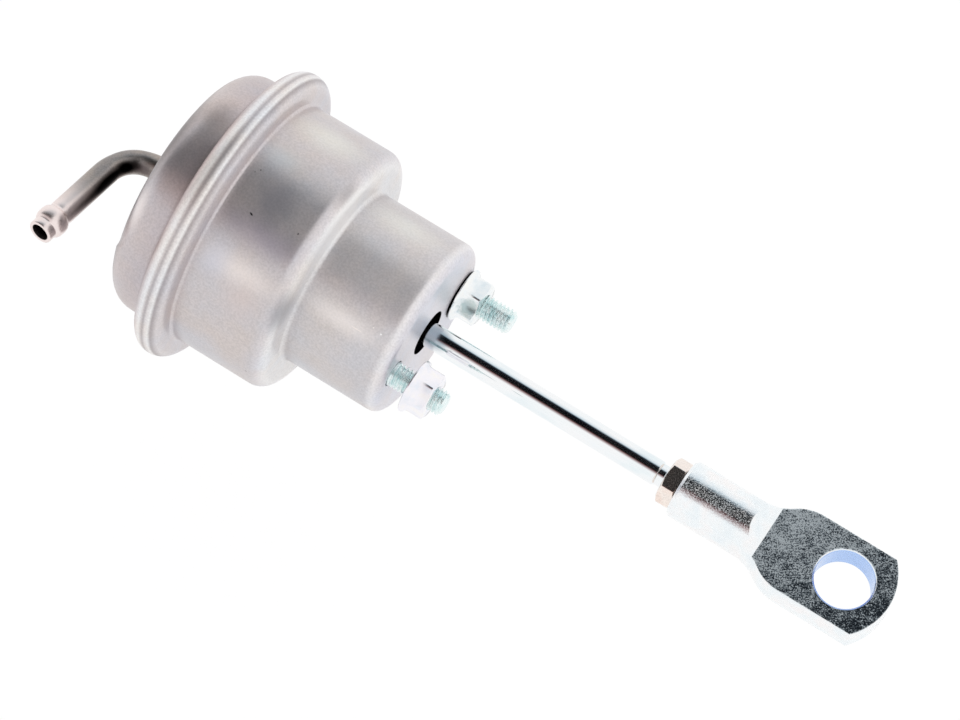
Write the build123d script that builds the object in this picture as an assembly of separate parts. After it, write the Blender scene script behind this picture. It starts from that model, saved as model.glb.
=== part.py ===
from build123d import *
from math import cos, pi, radians, sin, tan
import os

os.makedirs("parts", exist_ok=True)

# Frame: +X runs along the rod, out of the canister. The origin lies on the canister's axis, in
# the flat front face that seats on a bracket. The two studs stand on the Y axis.
# Every size is in millimetres, every angle in degrees.

# Studs, the plate that carries them and their flange nuts
STUD_SPACING = 30.6
STUD_RADIUS = 3.0
STUD_REACH = 13.8
STUD_TIP_CHAMFER = 0.8
STUD_HEAD_LIP = 1.5
STUD_HEAD_HEIGHT = 1.8
STUD_HEAD_GAP = 0.5
PLATE_THICKNESS = 2.0
PLATE_HOLE_RADIUS = 8.0
PLATE_EDGE_GAP = 0.1
NUT_ACROSS_FLATS = 10.0
NUT_HEIGHT = 6.0
NUT_FLANGE_RADIUS = 6.5
NUT_FLANGE_EDGE = 1.0
NUT_FLANGE_CONE = 1.1
NUT_UNDERCUT_HEIGHT = 0.4
NUT_UNDERCUT_WIDTH = 0.9
LOWER_NUT_STANDOFF = 4.9
UPPER_NUT_ANGLE = 34.3
LOWER_NUT_ANGLE = 21.6
HEX_BEARING_SHARE = 0.96
HEX_CHAMFER_ANGLE = 30.0

# Front can, drawn from one sheet: a small nose, a larger barrel and a round rim rolled over the cover
CAN_SHEET = 1.5
NOSE_LENGTH = 25.2
NOSE_CORNER = 2.7
NOSE_ROOT = 1.2
SHOULDER_WIDTH = 9.0
BARREL_LENGTH = 23.9
BARREL_CORNER = 3.8
BARREL_ROOT = 0.8
RIM_ROLL = 3.4
RIM_LIP = 4.5
ROD_OPENING_GAP = 2.65
STUD_HOLE_CLEARANCE = 0.3

# Rear cover, a drawn dish with a shallow cone, and a low land to one side of the hose elbow
COVER_SHEET = 1.5
COVER_FLANGE = 2.8
COVER_DEPTH = 14.2
COVER_CORNER = 6.5
COVER_CONE_WIDTH = 10.4
COVER_CONE_ANGLE = 75.0
COVER_BACK_ROUND = 4.0
COVER_ROOT = 1.5
COVER_ROOT_RUN = 1.0
LAND_HEIGHT = 0.45
LAND_DEPTH = 9.0
LAND_WIDTH = 11.8
LAND_ANGLE = 220.0
LAND_DRAFT_ANGLE = 30.0

# Rolling diaphragm with a beaded edge, clamped in the rim
DIAPHRAGM_SHEET = 1.2
DIAPHRAGM_BEAD = 2.8
DIAPHRAGM_BEAD_WIDTH = 1.7
DIAPHRAGM_BEAD_GAP = 0.25
DIAPHRAGM_WALL_GAP = 0.3
ROLL_WIDTH = 4.9
ROLL_FLAT = 0.04

# Piston, its clamping stack and the rest gap behind it
PISTON_SHEET = 1.2
PISTON_CORNER = 2.6
PISTON_SKIRT = 18.0
CENTRING_SHEET = 1.0
CENTRING_GAP = 0.3
CENTRING_HEIGHT = 4.5
RETAINER_SHEET = 1.0
RETAINER_INSET = 3.9
RETAINER_FLARE = 1.6
RIVET_WASHER_RADIUS = 8.0
RIVET_WASHER_THICKNESS = 1.0
REST_GAP = 0.3

# Rod, from the riveted head to the adjusting thread
ROD_RADIUS = 3.0
ROD_SHOULDER = 0.5
RIVET_HEAD_LIP = 1.9
RIVET_HEAD_HEIGHT = 1.2
PLAIN_ROD_END = 61.5
THREAD_RELIEF = 0.05
THREAD_ENGAGEMENT = 13.0

# Return spring and its seat
SPRING_WIRE = 2.8
SPRING_TURNS = 6.0
WIRE_SIDES = 12
SEAT_SHEET = 1.2
SEAT_HUB_GAP = 0.4
SEAT_WALL_GAP = 0.3
SEAT_LIP_GAP = 0.6
SEAT_LIP_HEIGHT = 3.2

# Jam nut and rod end
JAM_NUT_ACROSS_FLATS = 10.0
JAM_NUT_THICKNESS = 3.9
JAM_NUT_STANDOFF = 2.0
JAM_NUT_ANGLE = 62.0
SHANK_RADIUS = 7.0
SHANK_CHAMFER = 0.7
EYE_OFFSET = 41.7
EYE_RADIUS = 6.8
EYE_CHAMFER = 0.5
EYE_SIDE_WALL = 3.6
EYE_END_WALL = 4.6
BLADE_ANGLE = 18.5
BLADE_THICKNESS = 7.8
BLADE_EDGE_ROUND = 0.3
BLADE_END_ARC = 15.8
FLAT_START = 21.9
RAMP_LENGTH = 4.2
FLARE_MIDDLE = 24.0
FLARE_LENGTH = 13.0

# Hose elbow, a bent tube with a rolled bead, brazed into the cover
TUBE_RADIUS = 3.0
TUBE_WALL = 0.85
TUBE_INSIDE_STAND = 0.7
ELBOW_RISE = 12.55
ELBOW_BEND_RADIUS = 8.5
ELBOW_ANGLE = 84.6
ELBOW_SIDE_ANGLE = 186.3
ELBOW_REACH = 31.6
BEAD_STAND = 0.8
BEAD_LENGTH = 4.2
TUBE_TIP_LENGTH = 2.2
BRAZE_WIDTH = 1.5
BRAZE_HEIGHT = 1.5

# How far a cutting tool runs past the face that it cuts, and how closely an edge's place must match
CUT_MARGIN = 1.0
MATCH_TOLERANCE = 0.01

# Radii, worked outwards from the studs and the rod
STUD_HEAD_RADIUS = STUD_RADIUS + STUD_HEAD_LIP
NOSE_INNER_RADIUS = STUD_SPACING / 2 + STUD_HEAD_RADIUS + STUD_HEAD_GAP
NOSE_RADIUS = NOSE_INNER_RADIUS + CAN_SHEET
BARREL_RADIUS = NOSE_RADIUS + SHOULDER_WIDTH
BARREL_INNER_RADIUS = BARREL_RADIUS - CAN_SHEET
BEAD_INNER_RADIUS = BARREL_RADIUS + BARREL_ROOT + DIAPHRAGM_BEAD_GAP
BEAD_OUTER_RADIUS = BEAD_INNER_RADIUS + DIAPHRAGM_BEAD_WIDTH
RIM_RADIUS = BEAD_OUTER_RADIUS + RIM_ROLL
COVER_RADIUS = BEAD_OUTER_RADIUS - COVER_FLANGE
PISTON_RADIUS = BARREL_INNER_RADIUS - ROLL_WIDTH
RETAINER_RADIUS = PISTON_RADIUS - RETAINER_INSET
SEAT_HUB_RADIUS = STUD_SPACING / 2 - STUD_HEAD_RADIUS - SEAT_HUB_GAP
SEAT_LIP_RADIUS = NOSE_INNER_RADIUS - SEAT_WALL_GAP
SPRING_MEAN_RADIUS = SEAT_LIP_RADIUS - SEAT_SHEET - SEAT_LIP_GAP - SPRING_WIRE / 2
CENTRING_RADIUS = SPRING_MEAN_RADIUS - SPRING_WIRE / 2 - CENTRING_GAP
SPIGOT_RADIUS = ROD_RADIUS - ROD_SHOULDER
RIVET_HEAD_RADIUS = SPIGOT_RADIUS + RIVET_HEAD_LIP
THREAD_RADIUS = ROD_RADIUS - THREAD_RELIEF
ROD_OPENING_RADIUS = ROD_RADIUS + ROD_OPENING_GAP
TUBE_BORE_RADIUS = TUBE_RADIUS - TUBE_WALL
BEAD_RADIUS = TUBE_RADIUS + BEAD_STAND
BLADE_HALF_WIDTH = EYE_RADIUS + EYE_SIDE_WALL
BLADE_SIDE_RADIUS = (BLADE_HALF_WIDTH ** 2 + (BLADE_THICKNESS / 2) ** 2) ** 0.5

# Places along the axis, worked backwards from the front face
X_FRONT_INNER = -CAN_SHEET
X_RIM_FRONT = -NOSE_LENGTH - BARREL_LENGTH
X_BEAD_FRONT = X_RIM_FRONT - CAN_SHEET
X_BEAD_REAR = X_BEAD_FRONT - DIAPHRAGM_BEAD
X_COVER_FLANGE_REAR = X_BEAD_REAR - COVER_SHEET
X_RIM_REAR = X_COVER_FLANGE_REAR - CAN_SHEET
X_BACK = X_COVER_FLANGE_REAR - COVER_DEPTH
X_BACK_INNER = X_BACK + COVER_SHEET
X_TUBE_INNER = X_BACK_INNER + TUBE_INSIDE_STAND
X_RIVET_HEAD = X_TUBE_INNER + REST_GAP
X_RIVET_WASHER = X_RIVET_HEAD + RIVET_HEAD_HEIGHT
X_RETAINER = X_RIVET_WASHER + RIVET_WASHER_THICKNESS
X_DIAPHRAGM_CROWN = X_RETAINER + RETAINER_SHEET
X_PISTON = X_DIAPHRAGM_CROWN + DIAPHRAGM_SHEET
X_PISTON_FRONT = X_PISTON + PISTON_SHEET
X_ROD_SHOULDER = X_PISTON_FRONT + CENTRING_SHEET
X_PLATE_REAR = X_FRONT_INNER - PLATE_THICKNESS
X_STUD_HEAD_REAR = X_PLATE_REAR - STUD_HEAD_HEIGHT
X_SEAT_REAR = X_STUD_HEAD_REAR - SEAT_SHEET

# Places along the axis, worked forwards along the rod
X_JAM_NUT = PLAIN_ROD_END + JAM_NUT_STANDOFF
X_SHANK = X_JAM_NUT + JAM_NUT_THICKNESS
X_EYE = X_SHANK + EYE_OFFSET
X_FLAT = X_SHANK + FLAT_START
X_FLARE = X_SHANK + FLARE_MIDDLE - FLARE_LENGTH / 2
X_FULL_WIDTH = X_FLARE + FLARE_LENGTH
X_BLADE_END = X_EYE + EYE_RADIUS + EYE_END_WALL


def sheet_turned(points, radii, thickness):
    """A pressed sheet: a mid-line of (x, radius) points with bend radii, turned about the axis."""
    mid_line = FilletPolyline(*points, radius=radii)
    return revolve(trace(mid_line, line_width=thickness), Axis.X, 360)


def turned(points):
    """A solid turned about the axis from a closed outline of (x, radius) points."""
    return revolve(make_face(Polyline(*points, close=True)), Axis.X, 360)


def cylinder(x_start, x_end, radius, y=0.0):
    """A round bar along X between two places, at a distance y from the axis."""
    disc = Plane.YZ.offset(x_start) * Pos(y, 0) * Circle(radius)
    return extrude(disc, x_end - x_start)


def ring(x_start, x_end, inner, outer):
    """A flat washer or plain ring along X."""
    return cylinder(x_start, x_end, outer) - cylinder(x_start, x_end, inner)


def turn_about_x(shape, angle):
    """The shape turned about the rod's axis."""
    return Rot(angle, 0, 0) * shape


def chamfered_hexagon(across_flats, height, flat_angle):
    """A hexagon bar along X from 0, its ends' corners turned off; flat_angle is one flat's direction."""
    outline = RegularPolygon(across_flats / 2, 6, major_radius=False)
    first_flat = 30.0
    bar = extrude(Plane.YZ * Rot(0, 0, flat_angle - first_flat) * outline, height)
    corner = across_flats / 2 / cos(pi / 6)
    face = across_flats / 2 * HEX_BEARING_SHARE
    drop = (corner - face) * tan(radians(HEX_CHAMFER_ANGLE))
    cone = turned([
        (0, 0), (0, face), (drop, corner), (height - drop, corner), (height, face), (height, 0),
    ])
    return bar & cone


def make_front_can():
    """The nose, shoulder, barrel and round rim, with the lip folded over the cover."""
    half = CAN_SHEET / 2
    nose = NOSE_RADIUS - half
    barrel = BARREL_RADIUS - half
    flange = X_RIM_FRONT - half
    rim = RIM_RADIUS - half
    lip = X_RIM_REAR + half
    points = [
        (-half, ROD_OPENING_RADIUS), (-half, nose),
        (-NOSE_LENGTH - half, nose), (-NOSE_LENGTH - half, barrel),
        (flange, barrel), (flange, rim), (lip, rim), (lip, RIM_RADIUS - RIM_LIP),
    ]
    radii = [
        NOSE_CORNER - half, NOSE_ROOT + half, BARREL_CORNER - half, BARREL_ROOT + half,
        RIM_ROLL - half, RIM_ROLL - half,
    ]
    can = sheet_turned(points, radii, CAN_SHEET)
    for side in (-1, 1):
        hole = STUD_RADIUS + STUD_HOLE_CLEARANCE
        can -= cylinder(X_FRONT_INNER - CUT_MARGIN, CUT_MARGIN, hole, side * STUD_SPACING / 2)
    return can


def cover_dish(rise, inset, x_open):
    """A solid dish up to its open side; rise moves its back rearwards, inset moves all faces in."""
    wall = COVER_RADIUS - inset
    x_back = X_BACK - rise + inset
    back_edge = COVER_RADIUS - COVER_CONE_WIDTH - inset * tan(radians((90 - COVER_CONE_ANGLE) / 2))
    x_corner = x_back + (wall - back_edge) / tan(radians(COVER_CONE_ANGLE))
    side = FilletPolyline(
        (x_back, 0), (x_back, back_edge), (x_corner, wall), (x_open, wall),
        radius=[COVER_BACK_ROUND - inset, COVER_CORNER - inset],
    )
    rest = Polyline((x_open, wall), (x_open, 0), (x_back, 0))
    return revolve(make_face([side, rest]), Axis.X, 360)


def land_block(spread):
    """The drafted block that marks out the raised land; spread moves its sides outwards."""
    x_base = X_BACK + LAND_DEPTH
    x_top = X_BACK - LAND_HEIGHT - COVER_SHEET
    lean = (x_base - x_top) * tan(radians(LAND_DRAFT_ANGLE))
    side = COVER_RADIUS - LAND_WIDTH - spread
    reach = COVER_RADIUS + CUT_MARGIN
    outline = Polyline(
        (x_base, side - lean / 2), (x_base, reach), (x_top, reach), (x_top, side + lean / 2),
        close=True,
    )
    block = extrude(make_face(outline), reach, both=True)
    return turn_about_x(block, LAND_ANGLE)


def make_rear_cover():
    """The dish with its raised land, its flange in the rim and the hole for the hose elbow."""
    half = COVER_SHEET / 2
    x_open = X_BEAD_REAR - half
    x_past = X_BEAD_REAR + CUT_MARGIN
    outer = cover_dish(0, 0, x_open)
    outer += cover_dish(LAND_HEIGHT, 0, x_open) & land_block(0)
    inner = cover_dish(0, COVER_SHEET, x_past)
    inner += cover_dish(LAND_HEIGHT, COVER_SHEET, x_past) & land_block(-COVER_SHEET)
    wall = COVER_RADIUS - half
    x_flange = X_BEAD_REAR - half
    x_wall = x_flange - COVER_ROOT - half - COVER_ROOT_RUN
    flange = sheet_turned(
        [(x_flange, BEAD_OUTER_RADIUS), (x_flange, wall), (x_wall, wall)],
        [COVER_ROOT + half], COVER_SHEET,
    )
    dish = outer - inner - cylinder(x_wall, x_past, COVER_RADIUS + CUT_MARGIN)
    cover = dish + flange
    return cover - cylinder(X_BACK - CUT_MARGIN, X_BACK_INNER + CUT_MARGIN, TUBE_RADIUS)


def make_diaphragm():
    """The beaded edge, the wall along the barrel, the roll and the crown on the piston."""
    half = DIAPHRAGM_SHEET / 2
    x_flange = X_BEAD_REAR + half
    outer = BARREL_INNER_RADIUS - DIAPHRAGM_WALL_GAP - half
    inner = PISTON_RADIUS + DIAPHRAGM_WALL_GAP + half
    x_crown = X_DIAPHRAGM_CROWN + half
    x_roll = X_PISTON + PISTON_SKIRT - half
    roll = (outer - inner - ROLL_FLAT) / 2
    edge_bend = BARREL_ROOT + CAN_SHEET + half
    sheet = sheet_turned(
        [
            (x_flange, BEAD_INNER_RADIUS + half), (x_flange, outer), (x_roll, outer),
            (x_roll, inner), (x_crown, inner), (x_crown, SPIGOT_RADIUS),
        ],
        [edge_bend, roll, roll, PISTON_CORNER + half], DIAPHRAGM_SHEET,
    )
    bead = ring(X_BEAD_REAR, X_BEAD_FRONT, BEAD_INNER_RADIUS, BEAD_OUTER_RADIUS)
    return sheet + bead


def make_piston_cup():
    """The pressed cup that carries the diaphragm's crown, open towards the spring."""
    half = PISTON_SHEET / 2
    return sheet_turned(
        [
            (X_PISTON + half, SPIGOT_RADIUS), (X_PISTON + half, PISTON_RADIUS - half),
            (X_PISTON + PISTON_SKIRT, PISTON_RADIUS - half),
        ],
        [PISTON_CORNER - half], PISTON_SHEET,
    )


def make_spring_centring_cup():
    """The dished washer under the rod's shoulder that keeps the spring on the axis."""
    half = CENTRING_SHEET / 2
    return sheet_turned(
        [
            (X_PISTON_FRONT + half, SPIGOT_RADIUS), (X_PISTON_FRONT + half, CENTRING_RADIUS - half),
            (X_PISTON_FRONT + CENTRING_HEIGHT, CENTRING_RADIUS - half),
        ],
        [CENTRING_SHEET], CENTRING_SHEET,
    )


def make_retainer_plate():
    """The plate that clamps the diaphragm's crown, its edge flared away from the rubber."""
    half = RETAINER_SHEET / 2
    return sheet_turned(
        [
            (X_RETAINER + half, SPIGOT_RADIUS), (X_RETAINER + half, RETAINER_RADIUS - RETAINER_FLARE),
            (X_RETAINER + half - RETAINER_FLARE, RETAINER_RADIUS),
        ],
        [2 * RETAINER_SHEET], RETAINER_SHEET,
    )


def make_rivet_washer():
    """The hard washer that the rod's end is riveted over."""
    return ring(X_RIVET_WASHER, X_RETAINER, SPIGOT_RADIUS, RIVET_WASHER_RADIUS)


def make_rod():
    """The rod: riveted head, spigot through the piston stack, plain bar and adjusting thread."""
    edge = RIVET_HEAD_HEIGHT / 2
    thread_end = X_SHANK + THREAD_ENGAGEMENT
    tip = ROD_RADIUS - SPIGOT_RADIUS
    return turned([
        (X_RIVET_HEAD, 0), (X_RIVET_HEAD, RIVET_HEAD_RADIUS - edge),
        (X_RIVET_HEAD + edge, RIVET_HEAD_RADIUS), (X_RIVET_WASHER, RIVET_HEAD_RADIUS),
        (X_RIVET_WASHER, SPIGOT_RADIUS), (X_ROD_SHOULDER, SPIGOT_RADIUS),
        (X_ROD_SHOULDER, ROD_RADIUS), (PLAIN_ROD_END, ROD_RADIUS),
        (PLAIN_ROD_END, THREAD_RADIUS), (thread_end - tip, THREAD_RADIUS),
        (thread_end, THREAD_RADIUS - tip), (thread_end, 0),
    ])


def make_spring():
    """The return spring, its round wire drawn with flats, its end coils ground level."""
    length = X_SEAT_REAR - X_PISTON_FRONT
    path = Helix(
        pitch=length / SPRING_TURNS, height=length, radius=SPRING_MEAN_RADIUS,
        center=(X_PISTON_FRONT, 0, 0), direction=(1, 0, 0),
    )
    section = Plane(path @ 0, z_dir=path % 0) * RegularPolygon(SPRING_WIRE / 2, WIRE_SIDES)
    coil = sweep(section, path, is_frenet=True)
    outer = SPRING_MEAN_RADIUS + SPRING_WIRE
    return coil & cylinder(X_PISTON_FRONT, X_SEAT_REAR, outer)


def make_spring_seat():
    """The pressed seat that bears on the stud heads and keeps the spring's front end central."""
    half = SEAT_SHEET / 2
    hub = SEAT_HUB_RADIUS - half
    lip = SEAT_LIP_RADIUS - half
    x_ring = X_STUD_HEAD_REAR - half
    return sheet_turned(
        [
            (X_PLATE_REAR, hub), (x_ring, hub),
            (x_ring, lip), (x_ring - SEAT_LIP_HEIGHT, lip),
        ],
        [SEAT_SHEET * 0.75, SEAT_SHEET], SEAT_SHEET,
    )


def make_stud_plate():
    """The plate inside the nose that the studs are pressed into."""
    outer = NOSE_RADIUS - NOSE_CORNER - PLATE_EDGE_GAP
    plate = ring(X_PLATE_REAR, X_FRONT_INNER, PLATE_HOLE_RADIUS, outer)
    for side in (-1, 1):
        tool = cylinder(X_PLATE_REAR - CUT_MARGIN, CUT_MARGIN, STUD_RADIUS, side * STUD_SPACING / 2)
        plate -= tool
    return plate


def make_stud(side):
    """One stud: a flat head behind the plate, and a shank out through the front face."""
    stud = turned([
        (X_STUD_HEAD_REAR, 0), (X_STUD_HEAD_REAR, STUD_HEAD_RADIUS),
        (X_PLATE_REAR, STUD_HEAD_RADIUS), (X_PLATE_REAR, STUD_RADIUS),
        (STUD_REACH - STUD_TIP_CHAMFER, STUD_RADIUS),
        (STUD_REACH, STUD_RADIUS - STUD_TIP_CHAMFER), (STUD_REACH, 0),
    ])
    return Pos(0, side * STUD_SPACING / 2, 0) * stud


def make_flange_nut(side, standoff, flat_angle):
    """One flange nut on its stud, its flange towards the canister and relieved at the edge."""
    cone_top = NUT_FLANGE_EDGE + NUT_FLANGE_CONE
    flange = turned([
        (0, 0), (0, NUT_FLANGE_RADIUS - NUT_UNDERCUT_WIDTH),
        (NUT_UNDERCUT_HEIGHT, NUT_FLANGE_RADIUS), (NUT_FLANGE_EDGE, NUT_FLANGE_RADIUS),
        (cone_top, NUT_ACROSS_FLATS / 2), (cone_top, 0),
    ])
    nut = chamfered_hexagon(NUT_ACROSS_FLATS, NUT_HEIGHT, flat_angle) + flange
    nut -= cylinder(-CUT_MARGIN, NUT_HEIGHT + CUT_MARGIN, STUD_RADIUS)
    return Pos(standoff, side * STUD_SPACING / 2, 0) * nut


def make_jam_nut():
    """The thin nut that locks the rod end on the rod."""
    nut = chamfered_hexagon(JAM_NUT_ACROSS_FLATS, JAM_NUT_THICKNESS, JAM_NUT_ANGLE)
    nut -= cylinder(-CUT_MARGIN, JAM_NUT_THICKNESS + CUT_MARGIN, THREAD_RADIUS)
    return Pos(X_JAM_NUT, 0, 0) * nut


def make_flared_bar():
    """The rod end as a round bar: the shank, and the flare to the blade's bulged sides."""
    x_mid = (X_FLARE + X_FULL_WIDTH) / 2
    mid_radius = (SHANK_RADIUS + BLADE_SIDE_RADIUS) / 2
    rise = BLADE_SIDE_RADIUS - SHANK_RADIUS
    bend = (FLARE_LENGTH ** 2 + rise ** 2) / (4 * rise)
    outline = make_face([
        Line((X_SHANK, 0), (X_SHANK, SHANK_RADIUS - SHANK_CHAMFER)),
        Line((X_SHANK, SHANK_RADIUS - SHANK_CHAMFER), (X_SHANK + SHANK_CHAMFER, SHANK_RADIUS)),
        Line((X_SHANK + SHANK_CHAMFER, SHANK_RADIUS), (X_FLARE, SHANK_RADIUS)),
        RadiusArc((X_FLARE, SHANK_RADIUS), (x_mid, mid_radius), -bend),
        RadiusArc((x_mid, mid_radius), (X_FULL_WIDTH, BLADE_SIDE_RADIUS), bend),
        Line((X_FULL_WIDTH, BLADE_SIDE_RADIUS), (X_BLADE_END, BLADE_SIDE_RADIUS)),
        Line((X_BLADE_END, BLADE_SIDE_RADIUS), (X_BLADE_END, 0)),
        Line((X_BLADE_END, 0), (X_SHANK, 0)),
    ])
    return revolve(outline, Axis.X, 360)


def make_rod_end():
    """The rod end: a flared bar pressed flat behind a ramp, trimmed to an arc and bored."""
    flat = BLADE_THICKNESS / 2
    past = BLADE_SIDE_RADIUS + CUT_MARGIN
    x_past = X_BLADE_END + CUT_MARGIN
    ramp_slope = (SHANK_RADIUS - flat) / RAMP_LENGTH
    x_ramp_top = X_FLAT - (past - flat) / ramp_slope
    side = make_face(Polyline(
        (X_SHANK, 0), (X_SHANK, past), (x_ramp_top, past), (X_FLAT, flat), (x_past, flat), (x_past, 0),
        close=True,
    ))
    side = Rot(90, 0, 0) * (side + mirror(side, Plane.XZ))
    x_arc = X_BLADE_END - BLADE_END_ARC
    plan = Pos((X_SHANK + x_arc) / 2, 0) * Rectangle(x_arc - X_SHANK, 2 * past)
    plan += Pos(x_arc, 0) * Circle(BLADE_END_ARC)
    body = make_flared_bar() & extrude(side, past, both=True) & extrude(plan, past, both=True)
    edges = body.edges().filter_by(lambda edge: edge.center().X > X_FULL_WIDTH)
    rims = edges.filter_by(lambda edge: abs(abs(edge.center().Z) - flat) < MATCH_TOLERANCE)
    corners = edges.filter_by(lambda edge: edge.center().X > X_BLADE_END - BLADE_THICKNESS)
    corners = corners.filter_by(lambda edge: abs(edge.center().Z) < MATCH_TOLERANCE)
    body = fillet(rims + corners, BLADE_EDGE_ROUND)
    body -= cylinder(X_SHANK - CUT_MARGIN, X_SHANK + THREAD_ENGAGEMENT + CUT_MARGIN, THREAD_RADIUS)
    body -= Pos(X_EYE, 0, 0) * Cylinder(EYE_RADIUS, 2 * BLADE_THICKNESS)
    circles = body.edges().filter_by(GeomType.CIRCLE)
    eye_edges = circles.filter_by(lambda edge: abs(edge.radius - EYE_RADIUS) < MATCH_TOLERANCE)
    eye_edges = eye_edges.filter_by(lambda edge: abs(edge.arc_center.X - X_EYE) < MATCH_TOLERANCE)
    body = chamfer(eye_edges, EYE_CHAMFER)
    return turn_about_x(body, BLADE_ANGLE)


def make_hose_elbow():
    """The bent tube, from inside the cover to the hose end with its rolled bead."""
    turn = radians(ELBOW_ANGLE)
    x_corner = X_BACK - ELBOW_RISE
    corner = (x_corner, 0)
    reach = (x_corner - ELBOW_REACH * cos(turn), ELBOW_REACH * sin(turn))
    path = FilletPolyline((X_TUBE_INNER, 0), corner, reach, radius=ELBOW_BEND_RADIUS)
    start = Plane((X_TUBE_INNER, 0, 0), z_dir=(-1, 0, 0))
    tube = sweep(start * Circle(TUBE_RADIUS), path)
    bore = sweep(start * Circle(TUBE_BORE_RADIUS), path)
    tip = TUBE_TIP_LENGTH
    bead_end = tip + BEAD_LENGTH
    bead_middle = ((tip + bead_end) / 2, BEAD_RADIUS)
    crown = ThreePointArc((tip, TUBE_RADIUS), bead_middle, (bead_end, TUBE_RADIUS))
    foot = Polyline(
        (bead_end, TUBE_RADIUS), (bead_end, TUBE_BORE_RADIUS),
        (tip, TUBE_BORE_RADIUS), (tip, TUBE_RADIUS),
    )
    bead = revolve(make_face([crown, foot]), Axis.X, 360)
    end = Plane((reach[0], reach[1], 0), x_dir=(cos(turn), -sin(turn), 0), z_dir=(0, 0, 1))
    elbow = tube - bore + end * bead
    return turn_about_x(elbow, ELBOW_SIDE_ANGLE)


def make_braze_ring():
    """The fillet of braze between the elbow and the cover's back."""
    return turned([
        (X_BACK, TUBE_RADIUS), (X_BACK, TUBE_RADIUS + BRAZE_WIDTH),
        (X_BACK - BRAZE_HEIGHT / 3, TUBE_RADIUS + BRAZE_WIDTH / 3),
        (X_BACK - BRAZE_HEIGHT, TUBE_RADIUS),
    ])


PARTS = {
    "front_can": make_front_can,
    "rear_cover": make_rear_cover,
    "hose_elbow": make_hose_elbow,
    "braze_ring": make_braze_ring,
    "stud_plate": make_stud_plate,
    "stud_upper": lambda: make_stud(1),
    "stud_lower": lambda: make_stud(-1),
    "flange_nut_upper": lambda: make_flange_nut(1, 0.0, UPPER_NUT_ANGLE),
    "flange_nut_lower": lambda: make_flange_nut(-1, LOWER_NUT_STANDOFF, LOWER_NUT_ANGLE),
    "spring_seat": make_spring_seat,
    "spring": make_spring,
    "diaphragm": make_diaphragm,
    "piston_cup": make_piston_cup,
    "spring_centring_cup": make_spring_centring_cup,
    "retainer_plate": make_retainer_plate,
    "rivet_washer": make_rivet_washer,
    "rod": make_rod,
    "jam_nut": make_jam_nut,
    "rod_end": make_rod_end,
}

for name, make in PARTS.items():
    export_step(make(), f"parts/{name}.step")
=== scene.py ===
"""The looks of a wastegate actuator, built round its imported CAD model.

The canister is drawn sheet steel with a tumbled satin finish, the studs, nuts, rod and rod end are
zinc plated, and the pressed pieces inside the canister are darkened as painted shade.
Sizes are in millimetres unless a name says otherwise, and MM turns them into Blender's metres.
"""

import logging
import math
from dataclasses import dataclass
from enum import Enum
from typing import Any, Callable

import bmesh
import bpy
import numpy as np
from mathutils import Matrix, Vector


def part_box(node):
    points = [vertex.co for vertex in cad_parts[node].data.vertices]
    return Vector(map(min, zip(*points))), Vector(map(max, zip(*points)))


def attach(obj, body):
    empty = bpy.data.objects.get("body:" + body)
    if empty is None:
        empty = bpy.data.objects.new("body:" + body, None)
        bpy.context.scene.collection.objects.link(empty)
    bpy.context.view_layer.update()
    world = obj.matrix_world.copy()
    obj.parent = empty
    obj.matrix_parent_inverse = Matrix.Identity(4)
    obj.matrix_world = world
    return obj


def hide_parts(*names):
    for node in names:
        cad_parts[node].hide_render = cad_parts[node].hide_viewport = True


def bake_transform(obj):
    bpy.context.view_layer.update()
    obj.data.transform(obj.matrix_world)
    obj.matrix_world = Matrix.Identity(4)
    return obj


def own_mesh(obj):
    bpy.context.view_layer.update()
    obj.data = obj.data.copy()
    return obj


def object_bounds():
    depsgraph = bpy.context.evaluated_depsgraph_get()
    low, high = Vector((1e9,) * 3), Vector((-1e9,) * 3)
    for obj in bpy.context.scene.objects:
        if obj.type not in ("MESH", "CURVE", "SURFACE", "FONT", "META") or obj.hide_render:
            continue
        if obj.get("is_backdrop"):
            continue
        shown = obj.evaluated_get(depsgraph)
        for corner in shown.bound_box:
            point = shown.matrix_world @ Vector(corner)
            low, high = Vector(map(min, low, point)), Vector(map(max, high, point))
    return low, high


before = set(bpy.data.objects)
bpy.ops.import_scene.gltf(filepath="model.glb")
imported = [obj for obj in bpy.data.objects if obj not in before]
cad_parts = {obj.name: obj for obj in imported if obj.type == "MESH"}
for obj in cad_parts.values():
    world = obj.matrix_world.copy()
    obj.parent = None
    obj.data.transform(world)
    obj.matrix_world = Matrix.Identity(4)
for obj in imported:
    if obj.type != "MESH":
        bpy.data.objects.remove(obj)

log = logging.getLogger("actuator")
MM = 0.001
Point = tuple[float, float]
Piece = bpy.types.Object
Material = bpy.types.Material
Tree = bpy.types.NodeTree
Socket = bpy.types.NodeSocket


class Body(Enum):
    """The moving bodies of the CAD model."""

    CANISTER = "canister"
    DIAPHRAGM = "diaphragm"
    ROD = "rod"


class Slot(Enum):
    """The record's material slots."""

    SHEET = "satin_sheet_steel"
    ZINC = "bright_zinc"
    SPRING = "spring_steel"
    TUBE = "tube_steel"
    RUBBER = "diaphragm_rubber"
    BRAZE = "braze"
    PLAIN = "plain_steel"


# Colour and shader helpers


def linear(hex_colour: str) -> tuple[float, float, float, float]:
    """Turns an sRGB hex colour into the linear RGBA that shaders take.

    Args:
        hex_colour: a colour such as "#d4cdcd".

    Returns:
        Linear red, green, blue and an alpha of 1.
    """
    channels = [int(hex_colour[k:k + 2], 16) / 255 for k in (1, 3, 5)]
    red, green, blue = [c / 12.92 if c <= 0.04045 else ((c + 0.055) / 1.055) ** 2.4 for c in channels]
    return (red, green, blue, 1.0)


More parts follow.
